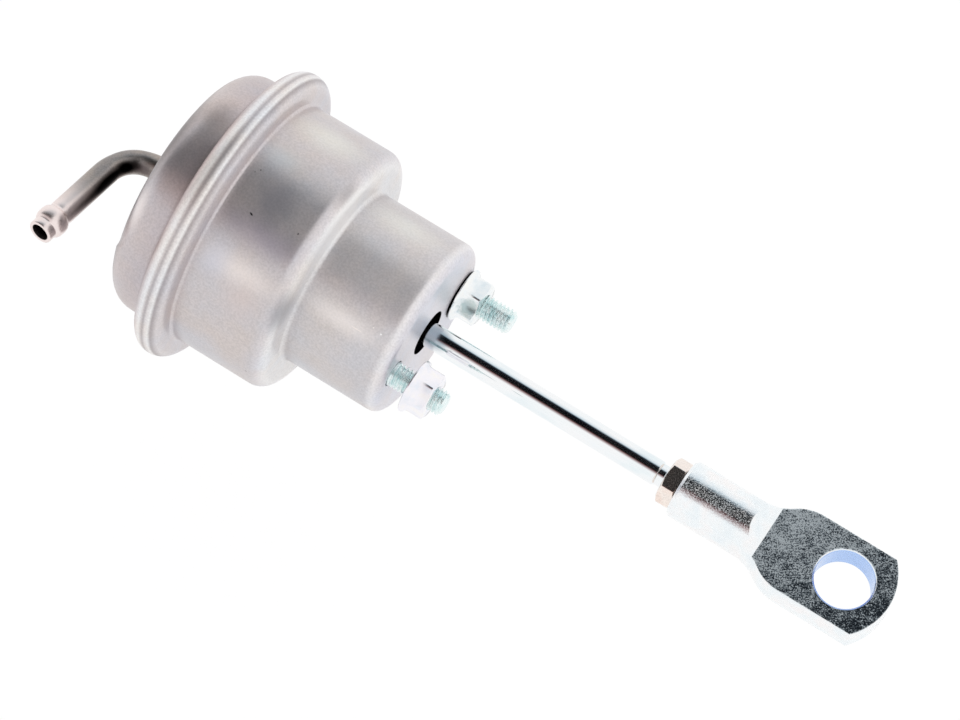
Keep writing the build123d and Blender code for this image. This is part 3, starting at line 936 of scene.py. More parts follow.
# Deep-drawn steel, tumbled: a soft lilac-grey satin that blurs the room into broad light and dark, with
# bands of painted highlight and painted shade, and marks that add painted highlights, shade and reflections
# to its patches, stains, nicks and scratches
SATIN_SHEET = BandPaintedSheet(
    "satin_drawn_sheet_steel", "#f5f3f3", "#f8f3ef", "#f0f2f6", 0.8, 0.34, 0.04,
    patch_mm=12.0, grain_mm=0.5, grain_height_mm=0.012, wave_mm=9.0, wave_height_mm=0.03, grain_tint=0.14,
    # Light bands are painted highlights on the corners and the rim, dark bands painted shade in the roots
    bands=(
        PaintedLightBand(-70.0, "#b4adae", 0.2), PaintedLightBand(-67.0, "#bcb5b6", 0.2), PaintedLightBand(-65.6, "#dcd4d4", 0.2),
        PaintedLightBand(-58.0, "#d6cccd", 0.2), PaintedLightBand(-56.6, "#b0a2a2", 0.3), PaintedLightBand(-55.4, "#d4c8c8", 0.4),
        PaintedLightBand(-54.6, "#f6f2f2", 0.6), PaintedLightBand(-53.8, "#ffffff", 0.7), PaintedLightBand(-53.2, "#dcd6d6", 0.5),
        PaintedLightBand(-52.7, "#c0babc", 0.45), PaintedLightBand(-52.2, "#f0ecec", 0.5), PaintedLightBand(-51.4, "#ffffff", 0.7),
        PaintedLightBand(-50.8, "#b4adb0", 0.2), PaintedLightBand(-49.8, "#eae6e8", 0.45), PaintedLightBand(-48.8, "#e2dcde", 0.4),
        PaintedLightBand(-47.5, "#ddd8d9", 0.25), PaintedLightBand(-29.5, "#ddd8d9", 0.28), PaintedLightBand(-28.0, "#dedadc", 0.35),
        PaintedLightBand(-26.6, "#ece8ea", 0.45), PaintedLightBand(-25.4, "#ffffff", 0.7), PaintedLightBand(-24.2, "#dcd9da", 0.5),
        PaintedLightBand(-3.2, "#dedadb", 0.55), PaintedLightBand(-1.6, "#fbf9fa", 0.6), PaintedLightBand(-0.4, "#efeef4", 0.4),
        PaintedLightBand(1.0, "#e6e5ee", 0.4),
    ),
    marks=(
        # Painted highlights: light streaks along the barrel and the nose at 74°-76° and 149°-150°
        wall_mark(-38.0, 30.8, 74.0, 26.0, 16.0, 0.0, "#fffff0", 0.35, 0.0, False),
        wall_mark(-14.0, 21.8, 76.0, 28.0, 14.0, 0.0, "#fffff2", 0.30, 0.0, False),
        wall_mark(-37.5, 30.8, 149.0, 26.0, 10.0, 0.0, "#fff6f2", 0.45, 0.0, False),
        wall_mark(-14.0, 21.8, 150.0, 26.0, 8.0, 0.0, "#fff8f5", 0.45, 0.0, False),
        # A bluish grey patch on the barrel
        wall_mark(-37.0, 30.8, 131.0, 28.0, 10.0, 0.0, "#b4b4cc", 0.35, 0.0, False),
        # Painted shade: darker patches where the barrel's front corner, the cover's wall and the cover's
        # rear corner would mirror the room's dark strip
        wall_mark(-26.0, 28.0, 157.0, 5.0, 17.0, 0.0, "#88888f", 0.7, 0.0, False),
        wall_mark(-60.5, 30.75, 98.0, 13.0, 16.0, 0.0, "#6a5c54", 0.5, 0.0, False),
        wall_mark(-66.8, 26.5, 113.0, 8.0, 34.0, 0.0, "#524a4c", 0.75, 0.0, False),
        # Painted highlight on the cover's corner
        wall_mark(-65.0, 29.2, 150.0, 5.0, 17.0, 0.0, "#fff6f4", 0.6, 0.0, False),
        # Painted shade on the barrel's front corner
        wall_mark(-27.0, 30.0, 96.0, 4.0, 13.0, 0.0, "#a09c9e", 0.6, 0.0, False),
        # Painted highlight: a white patch on the shoulder face
        wall_mark(-25.3, 25.5, 106.0, 2.4, 34.0, 0.0, "#ffffff", 0.6, 0.2, False),
        # Painted dark reflection along the top of the barrel
        wall_mark(-39.0, 30.8, 117.0, 13.0, 17.0, 0.0, "#8f93a3", 0.45, 0.0, False),
        # Pale bluish, pinkish and grey-blue patches on the barrel
        wall_mark(-44.0, 30.8, 150.0, 12.0, 14.0, 0.0, "#c8d0e4", 0.35, 0.0, False),
        wall_mark(-35.0, 30.8, 160.0, 15.0, 16.0, 0.0, "#ddc8c0", 0.30, 0.0, False),
        wall_mark(-43.0, 30.8, 98.0, 14.0, 9.0, 0.0, "#cfd8dc", 0.35, 0.0, False),
        # Nicks, specks and short scratches
        wall_mark(-41.7, 30.8, 126.0, 1.5, 0.7, -25.0, "#16161c", 0.95),
        wall_mark(-30.4, 30.8, 123.0, 0.5, 0.8, 0.0, "#2a2024", 0.9),
        wall_mark(-45.6, 30.8, 108.0, 0.5, 0.5, 0.0, "#4a4044", 0.8),
        wall_mark(-46.4, 30.8, 110.0, 0.4, 0.5, 0.0, "#4a4044", 0.6),
        wall_mark(-56.1, 34.9, 121.0, 0.7, 0.7, 0.0, "#2a1818", 0.9),
        wall_mark(-10.4, 21.8, 150.0, 3.6, 0.22, 0.0, "#fff4ee", 0.8),
        wall_mark(-7.0, 21.8, 144.0, 1.2, 0.25, 35.0, "#fffaf4", 0.9),
        wall_mark(-4.8, 21.8, 145.0, 0.6, 0.5, 0.0, "#ffffff", 0.9),
        wall_mark(-28.8, 30.7, 198.0, 0.9, 0.5, 0.0, "#4c3434", 0.7),
        # Painted shadow: the can's face under the upper nut's flange, black where it shows in the gap
        Mark((0.0, 14.9, 0.0), 90.0, 1.6, 12.6, 0.0, "#0c0a0c", 1.0, 0.95, 0.0, False),
        # Painted shade: the sheet round the rod's opening, black so that the opening looks deep
        Mark((-2.0, 0.0, 0.0), 90.0, 12.0, 12.3, 0.0, "#050506", 1.0, 0.97, 0.0, False),
    ),
)
# Cold-drawn rod under bright zinc: almost a mirror, with a painted blue-grey reflection of the canister at
# its root and fine marks along the draw
ZINC_BAR = MarkedFinish(
    "bright_zinc_plated_bar", "#f2f6f8", "#f6f7f8", "#e4eff3", 1.0, 0.10, 0.03,
    patch_mm=5.0, grain_mm=0.5, grain_height_mm=0.003, stretch=(3.0, 1.0, 1.0),
    marks=(
        # Painted reflection: the blue-grey of the canister's face mirrored at the rod's root
        wall_mark(2.5, 3.0, 125.0, 10.0, 8.0, 0.0, "#93a5b2", 0.75, 0.4, False),
        wall_mark(8.5, 3.0, 150.0, 6.0, 0.22, 0.0, "#3c4650", 0.8),
        wall_mark(17.0, 3.0, 156.0, 7.0, 0.2, 0.0, "#6f9096", 0.6),
        wall_mark(25.0, 3.0, 153.0, 4.0, 0.2, 0.0, "#7f9ca0", 0.5),
    ),
)
# Rolled thread under zinc: bright, with the blue-green cast of its passivation
ZINC_THREAD = Finish(
    "bright_zinc_plated_thread", "#e9f7f7", "#f4faf9", "#cfe9ea", 0.7, 0.16, 0.04,
    patch_mm=2.0, grain_mm=0.3, grain_height_mm=0.003,
)
# Pressed nut under zinc: nearly white, a thin lilac in its hollows
ZINC_NUT = Finish(
    "bright_zinc_plated_nut", "#f7f5fa", "#fbf8f6", "#ebeef6", 1.0, 0.20, 0.04,
    patch_mm=3.0, grain_mm=0.3, grain_height_mm=0.003,
)
# The same nut with a grey-green patch on one flat
GREEN_FLAT_ZINC_NUT = MarkedFinish(
    "zinc_nut_with_green_flat", "#f4f7f8", "#f9f9f6", "#e6eef2", 1.0, 0.18, 0.04,
    patch_mm=3.0, grain_mm=0.3, grain_height_mm=0.003,
    marks=(Mark((3.9, 10.4, 2.2), 154.3, 5.6, 5.4, 0.0, "#a9bfbf", 0.7, 0.5),),
)
# Forged and descaled steel under zinc: bright, but its flats are painted dark as a mirrored dark
# reflection, darker towards one corner as painted shade and flecked with painted glints where the pits are;
# the pits are drawn at 0.4 mm, coarser than real, so that they show
ZINC_FORGING = PressedFlatFinish(
    "bright_zinc_plated_forging", "#f6fafc", "#fbf9f9", "#eef5f9", 1.0, 0.15, 0.04,
    patch_mm=4.0, grain_mm=0.4, grain_height_mm=0.030, wave_mm=3.0, wave_height_mm=0.03, grain_tint=0.04,
)
# Plain steel nut, oiled: warm and a little brown next to the zinc
OILED_STEEL = Finish(
    "plain_oiled_steel_nut", "#fdf2ea", "#fae8de", "#f6ece6", 0.97, 0.13, 0.03,
    patch_mm=3.0, grain_mm=0.3, grain_height_mm=0.012, grain_tint=0.15,
)
# Drawn steel tube, browned by the heat of brazing: dull, with dark spots by the braze and painted black
# reflection stripes along its bend and leg
DRAWN_TUBE = HeatTintedTube(
    "heat_browned_drawn_tube", "#aba29c", "#b2a49b", "#9c9694", 1.0, 0.34, 0.05,
    patch_mm=5.0, grain_mm=0.4, grain_height_mm=0.008, grain_tint=0.2,
    marks=(
        Mark((-75.6, -3.2, 0.6), 90.0, 6.5, 5.5, 0.0, "#54484a", 0.75, 0.2, 0.0, False),
        Mark((-77.9, -3.7, 1.7), 90.0, 4.6, 4.6, 0.0, "#1a1210", 0.8, 0.1),
        # Painted reflection: black stripes along the bend and the leg, where the tube would mirror the
        # cover's shaded back
        Mark((-78.9, -5.6, 0.9), 90.0, 6.6, 4.8, -122.8, "#000000", 1.0, 0.35, 0.0, False),
        Mark((-80.0, -11.0, 0.2), 90.0, 18.0, 4.5, -95.4, "#000000", 1.0, 0.35, 6.3, False),
        Mark((-80.8, -18.0, -0.7), 90.0, 22.0, 4.0, -95.4, "#080404", 0.8, 0.0, 6.3, False),
        Mark((-83.5, -19.4, -2.1), 90.0, 40.0, 5.8, -95.4, "#050303", 1.0, 0.9, 6.3, False),
    ),
)
# Pressed steel inside the canister, darkened as painted shade, so that the openings look deep
SHADE_DARKENED_PRESSED_STEEL = Finish(
    "pressed_steel_darkened_as_shade", "#4e4c4b", "#544d47", "#464a50", 1.0, 0.38, 0.05,
    patch_mm=8.0, grain_mm=0.4, grain_height_mm=0.006, grain_tint=0.08,
)
# Hard-drawn spring wire: dark blue-grey from its heat treatment
SPRING_WIRE = Finish(
    "oil_tempered_spring_wire", "#6b6c70", "#7b746c", "#5c6270", 1.0, 0.38, 0.05,
    patch_mm=4.0, grain_mm=0.3, grain_height_mm=0.004,
)
# Fluorosilicone over woven cloth: matt black with a faint cloth relief
RUBBER = Finish(
    "cloth_reinforced_rubber", "#1d1d1f", "#232221", "#1a1b1f", 0.0, 0.62, 0.06,
    patch_mm=6.0, grain_mm=0.5, grain_height_mm=0.02,
)
# Brass-coloured braze: a smooth, slightly rippled fillet that flowed and froze
BRAZE = Finish(
    "flowed_brass_braze", "#b89a62", "#c4a878", "#9c8a68", 1.0, 0.35, 0.08,
    patch_mm=2.0, grain_mm=0.6, grain_height_mm=0.03,
)


# Fasteners


@dataclass(frozen=True)
class Hexagon:
    """The outline of a nut's six sides, its corners slightly worn; angles run from +Y to +Z."""

    across_flats: float
    flat_deg: float
    corner_wear: float = 0.985

    def reach(self, angle: float) -> float:
        """How far the nut's side stands from its axis.

        Args:
            angle: where round the axis, in radians.

        Returns:
            The distance.
        """
        sixth = math.pi / 3
        off = (angle - math.radians(self.flat_deg) + sixth / 2) % sixth - sixth / 2
        corner = self.across_flats / math.sqrt(3) * self.corner_wear
        return min(self.across_flats / 2 / math.cos(off), corner)


@dataclass(frozen=True)
class HexNut:
    """A plain hexagon nut along X, its corners turned off at both faces."""

    hexagon: Hexagon
    height: float
    bore: float
    bearing_share: float = 0.96
    corner_slope: float = 0.577
    bore_break: float = 0.35
    columns: int = 144

    def rear(self, angle: float) -> list[Point]:
        """The side that faces the canister, from the bore's edge outwards.

        Args:
            angle: where round the axis, in radians.

        Returns:
            Points as (x, radius).
        """
        side = self.hexagon.reach(angle)
        face = self.hexagon.across_flats / 2 * self.bearing_share
        return [(0.0, self.bore + self.bore_break), (0.0, face), ((side - face) * self.corner_slope, side)]

    def section(self, angle: float) -> list[Point]:
        """The nut's closed section.

        Args:
            angle: where round the axis, in radians.

        Returns:
            Points as (x, radius).
        """
        side = self.hexagon.reach(angle)
        face = self.hexagon.across_flats / 2 * self.bearing_share
        return [
            *self.rear(angle),
            (self.height - (side - face) * self.corner_slope, side), (self.height, face),
            (self.height, self.bore + self.bore_break), (self.height - self.bore_break, self.bore),
            (self.bore_break, self.bore),
        ]

    def build(self, name: str, x: float, y: float) -> Piece:
        """Makes the nut at a place.

        Args:
            name: the piece's name.
            x: the place of its rear face.
            y: its axis's distance from the rod's.

        Returns:
            The nut.
        """
        return turned(
            name, lambda angle: [(x + place, radius) for place, radius in self.section(angle)],
            self.columns, start_deg=self.hexagon.flat_deg, centre_y=y,
        )


@dataclass(frozen=True)
class FlangeNut(HexNut):
    """A hexagon nut with a conical flange that is relieved at its edge."""

    flange_radius: float = 6.5
    undercut_height: float = 0.4
    undercut_width: float = 1.8
    edge: float = 1.0
    cone: float = 1.1
    edge_break: float = 0.12
    root_width: float = 0.1
    root_height: float = 0.15

    def rear(self, angle: float) -> list[Point]:
        """The relieved underside, the flange's edge and its cone up to the hexagon.

        Args:
            angle: where round the axis, in radians.

        Returns:
            Points as (x, radius).
        """
        side, rim = self.hexagon.reach(angle), self.flange_radius
        slope = self.cone / (rim - self.hexagon.across_flats / 2)
        meet = self.edge + (rim - side) * slope
        return [
            (0.0, self.bore + self.bore_break), (0.0, rim - self.undercut_width),
            (self.undercut_height, rim - self.edge_break), (self.undercut_height + self.edge_break, rim),
            (self.edge - self.edge_break, rim),
            (self.edge + slope * self.edge_break, rim - self.edge_break),
            (meet - self.root_width, side + self.root_width / slope), (meet + self.root_height, side),
        ]


@dataclass
class Mounting:
    """The two threaded studs with their flange nuts, and the plate that holds the studs."""

    stud_radius: float = 3.0
    thread_depth: float = 0.6
    thread_pitch: float = 1.0
    thread_start: float = 0.3
    thread_sharpness: float = 1.5
    thread_root: float = 0.25
    rows_per_pitch: int = 12
    reach: float = 13.8
    tip_break: float = 0.8
    head_radius: float = 4.5
    head_break: float = 0.3
    shank_break: float = 0.2
    plate_rear: float = -3.5
    head_rear: float = -5.3
    lower_turn: float = 2.1
    lower_standoff: float = 4.9
    across_flats: float = 10.0
    nut_height: float = 6.0
    upper_flat_deg: float = 34.3
    lower_flat_deg: float = 21.6
    columns: int = 72

    def build(self) -> None:
        """Builds studs and nuts, and dresses the plate."""
        thread, plain_nut = ZINC_THREAD.material(), ZINC_NUT.material()
        green_nut = GREEN_FLAT_ZINC_NUT.material()
        low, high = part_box("stud_upper")
        y = (low.y + high.y) / 2 / MM
        for name, side, turn in (("stud_upper", 1, 0.0), ("stud_lower", -1, self.lower_turn)):
            stud = turned(
                f"{name}_threaded", lambda angle: self.stud_section(angle + turn), self.columns,
                closed=False, centre_y=side * y,
            )
            hand_in(stud, Body.CANISTER, Slot.ZINC, thread, name)
        upper, lower = (
            FlangeNut(Hexagon(self.across_flats, flat_deg), self.nut_height, self.stud_radius)
            for flat_deg in (self.upper_flat_deg, self.lower_flat_deg)
        )
        hand_in(
            upper.build("flange_nut_upper_pressed", 0.0, y), Body.CANISTER, Slot.ZINC, green_nut,
            "flange_nut_upper",
        )
        hand_in(
            lower.build("flange_nut_lower_pressed", self.lower_standoff, -y), Body.CANISTER, Slot.ZINC,
            plain_nut, "flange_nut_lower",
        )
        # The stud plate takes the dark pressed steel, which is painted shade
        dress("stud_plate", SHADE_DARKENED_PRESSED_STEEL.material())

    def stud_section(self, angle: float) -> list[Point]:
        """One line along the stud, from its head to its tip.

        Args:
            angle: the line's angle in radians, which shifts the thread by its helix.

        Returns:
            Points as (x, radius).
        """
        rest, head = self.stud_radius, self.head_radius
        line = [
            (self.head_rear, head - self.head_break), (self.head_rear + self.head_break, head),
            (self.plate_rear - self.shank_break, head), (self.plate_rear, head - self.shank_break),
            (self.plate_rear, rest),
            (self.thread_start, rest),
        ]
        count = round((self.reach - self.thread_start) / self.thread_pitch * self.rows_per_pitch)
        for k in range(1, count + 1):
            x = self.thread_start + (self.reach - self.thread_start) * k / count
            phase = (x / self.thread_pitch - angle / math.tau) % 1.0
            flank = abs(2 * phase - 1) * self.thread_sharpness - self.thread_root
            ridge = min(1.0, max(0.0, flank))
            fade = smooth_step(x, self.thread_start, self.thread_start + self.thread_pitch)
            limit = rest - max(0.0, x - (self.reach - self.tip_break))
            line.append((x, min(limit, rest - self.thread_depth * (1 - ridge) * fade)))
        return line


# The canister and what hangs on it


@dataclass
class Canister:
    """The pressed shell: the front can with its rolled rim, and the rear cover in it."""

    sheet: float = 1.5
    nose_radius: float = 21.8
    nose_length: float = 25.2
    nose_corner: float = 2.7
    nose_root: float = 1.2
    barrel_radius: float = 30.8
    barrel_corner: float = 3.8
    barrel_root: float = 0.8
    rim_front: float = -49.1
    rim_roll: float = 3.4
    rim_lip: float = 4.5
    opening_radius: float = 5.65
    stud_hole_radius: float = 3.3
    flange_rear: float = -54.9
    flange_radius: float = 33.5
    cover_radius: float = 30.75
    cover_root: float = 1.5
    cone_width: float = 10.4
    cone_deg: float = 75.0
    cover_corner: float = 6.5
    back_round: float = 4.0
    tube_radius: float = 3.0
    land_height: float = 0.45
    land_side: float = 18.95
    land_blend: float = 0.8
    land_deg: float = 220.0
    land_front: float = 59.0
    land_full: float = 62.0
    can_step: float = 1.2
    cover_step: float = 0.8
    columns: int = 240

    def build(self) -> None:
        """Builds the two shells in one satin sheet."""
        satin = SATIN_SHEET.material()
        self.front_can(satin)
        self.rear_cover(satin)

    def front_can(self, satin: Material) -> None:
        """The nose, shoulder, barrel and round rim, with the lip folded over the cover.

        Args:
            satin: the sheet's finish.
        """
        low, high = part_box("front_can")
        half = self.sheet / 2
        rim_radius = high.y / MM
        nose, barrel, rim = self.nose_radius - half, self.barrel_radius - half, rim_radius - half
        flange, lip = self.rim_front - half, low.x / MM + half
        points = [
            (-half, self.opening_radius), (-half, nose),
            (-self.nose_length - half, nose), (-self.nose_length - half, barrel),
            (flange, barrel), (flange, rim), (lip, rim), (lip, rim_radius - self.rim_lip),
        ]
        radii = [
            self.nose_corner - half, self.nose_root + half, self.barrel_corner - half,
            self.barrel_root + half, self.rim_roll - half, self.rim_roll - half,
        ]
        outline = sheet_section(points, radii, self.sheet, self.can_step)
        can = turned("front_can_drawn", lambda angle: outline, self.columns)
        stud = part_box("stud_upper")
        behind = 3 * self.sheet
        for side in (-1, 1):
            y = side * (stud[0].y + stud[1].y) / 2 / MM
            drill(can, (-behind, y), behind + 2 * self.sheet, self.stud_hole_radius)
        hand_in(can, Body.CANISTER, Slot.SHEET, satin, "front_can")

    def rear_cover(self, satin: Material) -> None:
        """The dish with its steep cone and low land, and its flange in the rim.

        Args:
            satin: the sheet's finish.
        """
        half = self.sheet / 2
        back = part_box("rear_cover")[0].x / MM + self.land_height + half
        wall = self.cover_radius - half
        cone = math.radians(self.cone_deg)
        edge = self.cover_radius - self.cone_width - half * math.tan((math.pi / 2 - cone) / 2)
        points = [
            (back, self.tube_radius), (back, edge), (back + (wall - edge) / math.tan(cone), wall),
            (self.flange_rear + half, wall), (self.flange_rear + half, self.flange_radius),
        ]
        radii = [self.back_round - half, self.cover_corner - half, self.cover_root + half]
        outline = sheet_section(points, radii, self.sheet, self.cover_step)
        cover = turned("rear_cover_drawn", lambda angle: self.with_land(outline, angle), self.columns)
        hand_in(cover, Body.CANISTER, Slot.SHEET, satin, "rear_cover")

    def with_land(self, outline: list[Point], angle: float) -> list[Point]:
        """The cover's outline with the low land pressed out on its side.

        Args:
            outline: the round cover's outline.
            angle: the outline's angle in radians.

        Returns:
            The outline at that angle.
        """
        moved = []
        for x, radius in outline:
            across = radius * math.cos(angle - math.radians(self.land_deg))
            share = smooth_step(across, self.land_side - self.land_blend, self.land_side + self.land_blend)
            share *= smooth_step(-x, self.land_front, self.land_full)
            moved.append((x - self.land_height * share, radius))
        return moved


@dataclass(frozen=True)
class HoseElbow:
    """The bent steel tube with its rolled bead, and the braze round its foot."""

    tube_radius: float = 3.0
    bore_radius: float = 2.15
    start_x: float = -66.9
    corner_x: float = -81.65
    reach: float = 31.6
    bend_radius: float = 8.5
    turn_deg: float = 84.6
    side_deg: float = 186.3
    flattening: float = 0.5
    bend_before: float = 1.5
    bend_after: float = 3.0
    bead_length: float = 7.7
    mouth_depth: float = 1.0
    tube_rows: int = 72
    bore_rows: int = 64
    columns: int = 64
    crease_deg: float = 40.0
    braze_width: float = 1.5
    braze_ripple: float = 0.12
    braze_steps: int = 6
    braze_columns: int = 96

    def build(self) -> None:
        """Builds the tube and dresses it, and the braze."""
        rows = self.outline()
        vertices = []
        for along, radius in rows:
            centre, inwards, aside, bending = self.place(along)
            for column in range(self.columns):
                angle = math.tau * column / self.columns
                towards = math.cos(angle) * radius
                if towards < 0:
                    towards *= 1 - self.flattening / self.tube_radius * bending
                vertices.append(centre + inwards * towards + aside * math.sin(angle) * radius)
        faces = grid_faces(len(rows), self.columns, True)
        tube = new_mesh("hose_elbow_bent", np.array([tuple(v) for v in vertices]), faces)
        shade(tube, self.crease_deg)
        hand_in(tube, Body.CANISTER, Slot.TUBE, DRAWN_TUBE.material(), "hose_elbow")
        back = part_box("braze_ring")[1].x / MM
        ring = turned(
            "braze_ring_flowed", lambda angle: self.braze_section(back, angle), self.braze_columns,
        )
        hand_in(ring, Body.CANISTER, Slot.BRAZE, BRAZE.material(), "braze_ring")

    def braze_section(self, back: float, angle: float) -> list[Point]:
        """The hollow fillet of braze at an angle, a little wider here and there.

        Args:
            back: the cover's back face.
            angle: the section's angle in radians.

        Returns:
            The closed section, as (x, radius).
        """
        ripple = (1 + math.sin(3 * angle + 1) * math.sin(angle)) / 2
        size = self.braze_width * (1 - self.braze_ripple * ripple)
        inner = self.tube_radius
        points = [(back, inner), (back, inner + size)]
        for k in range(1, self.braze_steps):
            turn = math.pi / 2 * k / self.braze_steps
            points.append((back - size * (1 - math.cos(turn)), inner + size * (1 - math.sin(turn))))
        return [*points, (back - size, inner)]

    def length(self) -> float:
        """The length of the tube's middle line."""
        tangent = self.bend_radius * math.tan(math.radians(self.turn_deg) / 2)
        arc = self.bend_radius * math.radians(self.turn_deg)
        return abs(self.corner_x - self.start_x) - tangent + arc + self.reach - tangent

    def place(self, along: float) -> tuple[Vector, Vector, Vector, float]:
        """The tube's frame at a distance along its middle line.

        Args:
            along: the distance from the end inside the cover.

        Returns:
            The centre, the direction into the bend, the direction aside, and how much it is bending.
        """
        out = Vector((-1.0, 0.0, 0.0))
        side = math.radians(self.side_deg)
        over = Vector((0.0, math.cos(side), math.sin(side)))
        turn = math.radians(self.turn_deg)
        tangent = self.bend_radius * math.tan(turn / 2)
        first = abs(self.corner_x - self.start_x) - tangent
        arc = self.bend_radius * turn
        angle = min(turn, max(0.0, (along - first) / self.bend_radius))
        ahead = out * math.cos(angle) + over * math.sin(angle)
        inwards = over * math.cos(angle) - out * math.sin(angle)
        bend_start = Vector((self.start_x, 0.0, 0.0)) + out * first
        centre = bend_start + over * self.bend_radius - inwards * self.bend_radius
        centre += ahead * (min(0.0, along - first) + max(0.0, along - first - arc))
        last = first + arc
        entering = smooth_step(along, first - self.bend_before, first + self.bend_after)
        leaving = smooth_step(-along, -last - self.bend_before, -last + self.bend_after)
        return centre, inwards, out.cross(over), entering * leaving

    def outline(self) -> list[Point]:
        """The tube's closed section along its length: the outside to the tip, then the bore back.

        Returns:
            Points as (distance along the tube, radius).
        """
        end = self.length()
        foot = end - self.bead_length
        outside = [(along, self.tube_radius) for along in np.linspace(0.0, foot, self.tube_rows)]
        bead = [
            (7.1, 2.93), (6.6, 2.88), (6.4, 3.0), (6.1, 3.36), (5.6, 3.64), (4.9, 3.77), (4.2, 3.78),
            (3.5, 3.72), (2.9, 3.55), (2.5, 3.28), (2.25, 3.0), (2.1, 2.92), (1.8, 2.98), (1.0, 3.0),
            (0.3, 2.99), (0.1, 2.9), (0.0, 2.7), (0.0, 2.35), (0.15, self.bore_radius),
        ]
        outside += [(end - back, radius) for back, radius in bead]
        bore = [
            (along, self.bore_radius) for along in np.linspace(end - self.mouth_depth, 0.0, self.bore_rows)
        ]
        return outside + bore


@dataclass(frozen=True)
class SpringAndPiston:
    """What the canister hides: spring, seat, diaphragm and the stack riveted on the rod."""

    stroke: float = 12.0
    bead_front: float = -50.6
    roll_rear: float = -47.0
    roll_radius: float = 26.85

    def build(self) -> None:
        """Dresses the pieces that keep their shapes, then makes the spring and the split diaphragm."""
        # The pressed pieces are darkened as painted shade inside the canister
        pressed = SHADE_DARKENED_PRESSED_STEEL.material()
        for node in ("spring_seat", "piston_cup", "spring_centring_cup", "retainer_plate", "rivet_washer"):
            dress(node, pressed)
        self.spring()
        self.diaphragm()

    def spring(self) -> None:
        """The coil, copied whole from the CAD node."""
        coil = part_of("spring_coil", "spring", lambda middle: True)
        hand_in(coil, Body.CANISTER, Slot.SPRING, SPRING_WIRE.material(), "spring")
        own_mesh(coil)

    def diaphragm(self) -> None:
        """The rubber, split along its roll: the crown moves with the diaphragm and the edge stays clamped.
        """
        rubber = RUBBER.material()
        split = self.roll_radius * MM
        crown = part_of(
            "diaphragm_crown", "diaphragm", lambda middle: math.hypot(middle.y, middle.z) <= split,
        )
        hand_in(crown, Body.DIAPHRAGM, Slot.RUBBER, rubber, "diaphragm")
        edge = part_of(
            "diaphragm_edge", "diaphragm", lambda middle: math.hypot(middle.y, middle.z) > split,
        )
        edge.data.materials.clear()
        edge.data.materials.append(rubber)
        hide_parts("diaphragm")
        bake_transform(edge)
        log.info("%s: %d faces", edge.name, len(edge.data.polygons))


@dataclass(frozen=True)
class RodAndEnd:
    """The rod, the jam nut on its thread and the flattened rod end."""

    rod_radius: float = 3.0
    spigot_radius: float = 2.5
    rivet_radius: float = 4.4
    rivet_height: float = 1.2
    shoulder_x: float = -60.0
    plain_end: float = 61.5
    neck_radius: float = 2.6
    thread_radius: float = 2.95
    nut_x: float = 63.5
    nut_height: float = 3.9
    nut_flat_deg: float = 62.0
    across_flats: float = 10.0
    rivet_round: float = 1.8
    dome_degs: tuple[float, ...] = (80, 60, 40, 20, 5)
    bar_start: float = -55.0
    bar_break: float = 0.3
    bar_drop: float = 0.2
    neck_break: float = 0.1
    neck_end: float = 0.4
    thread_break: float = 0.5
    bar_rows: int = 40
    columns: int = 96

    def build(self) -> None:
        """Builds the rod and its nut, and dresses the rod end."""
        rod = turned("rod_drawn", lambda angle: self.rod_line(), self.columns, closed=False)
        hand_in(rod, Body.ROD, Slot.ZINC, ZINC_BAR.material(), "rod")
        nut = HexNut(Hexagon(self.across_flats, self.nut_flat_deg), self.nut_height, self.thread_radius)
        jam_nut = nut.build("jam_nut_cut", self.nut_x, 0.0)
        hand_in(jam_nut, Body.ROD, Slot.PLAIN, OILED_STEEL.material(), "jam_nut")
        dress("rod_end", ZINC_FORGING.material())

    def rod_line(self) -> list[Point]:
        """The rod's outline: riveted head, spigot, plain bar, neck and thread.

        Returns:
            Points as (x, radius), from the head to the tip.
        """
        low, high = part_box("rod")
        head, tip = low.x / MM, high.x / MM
        spigot, rivet, bar, screw = (
            self.spigot_radius, self.rivet_radius, self.rod_radius, self.thread_radius,
        )
        foot = head + self.rivet_height
        top = rivet - self.rivet_round
        dome = [
            (head + self.rivet_height * (1 - math.sin(turn)), top + self.rivet_round * math.cos(turn))
            for turn in (math.radians(angle) for angle in self.dome_degs)
        ]
        plain = np.linspace(self.bar_start, self.plain_end - self.bar_break, self.bar_rows)
        return [
            (head, top), *dome, (foot, rivet), (foot, spigot), (self.shoulder_x, spigot),
            (self.shoulder_x, bar), *[(float(x), bar) for x in plain],
            (self.plain_end, bar - self.bar_drop), (self.plain_end + self.neck_break, self.neck_radius),
            (self.nut_x - self.neck_end, self.neck_radius), (self.nut_x, screw),
            (tip - self.thread_break, screw), (tip, screw - self.thread_break),
        ]


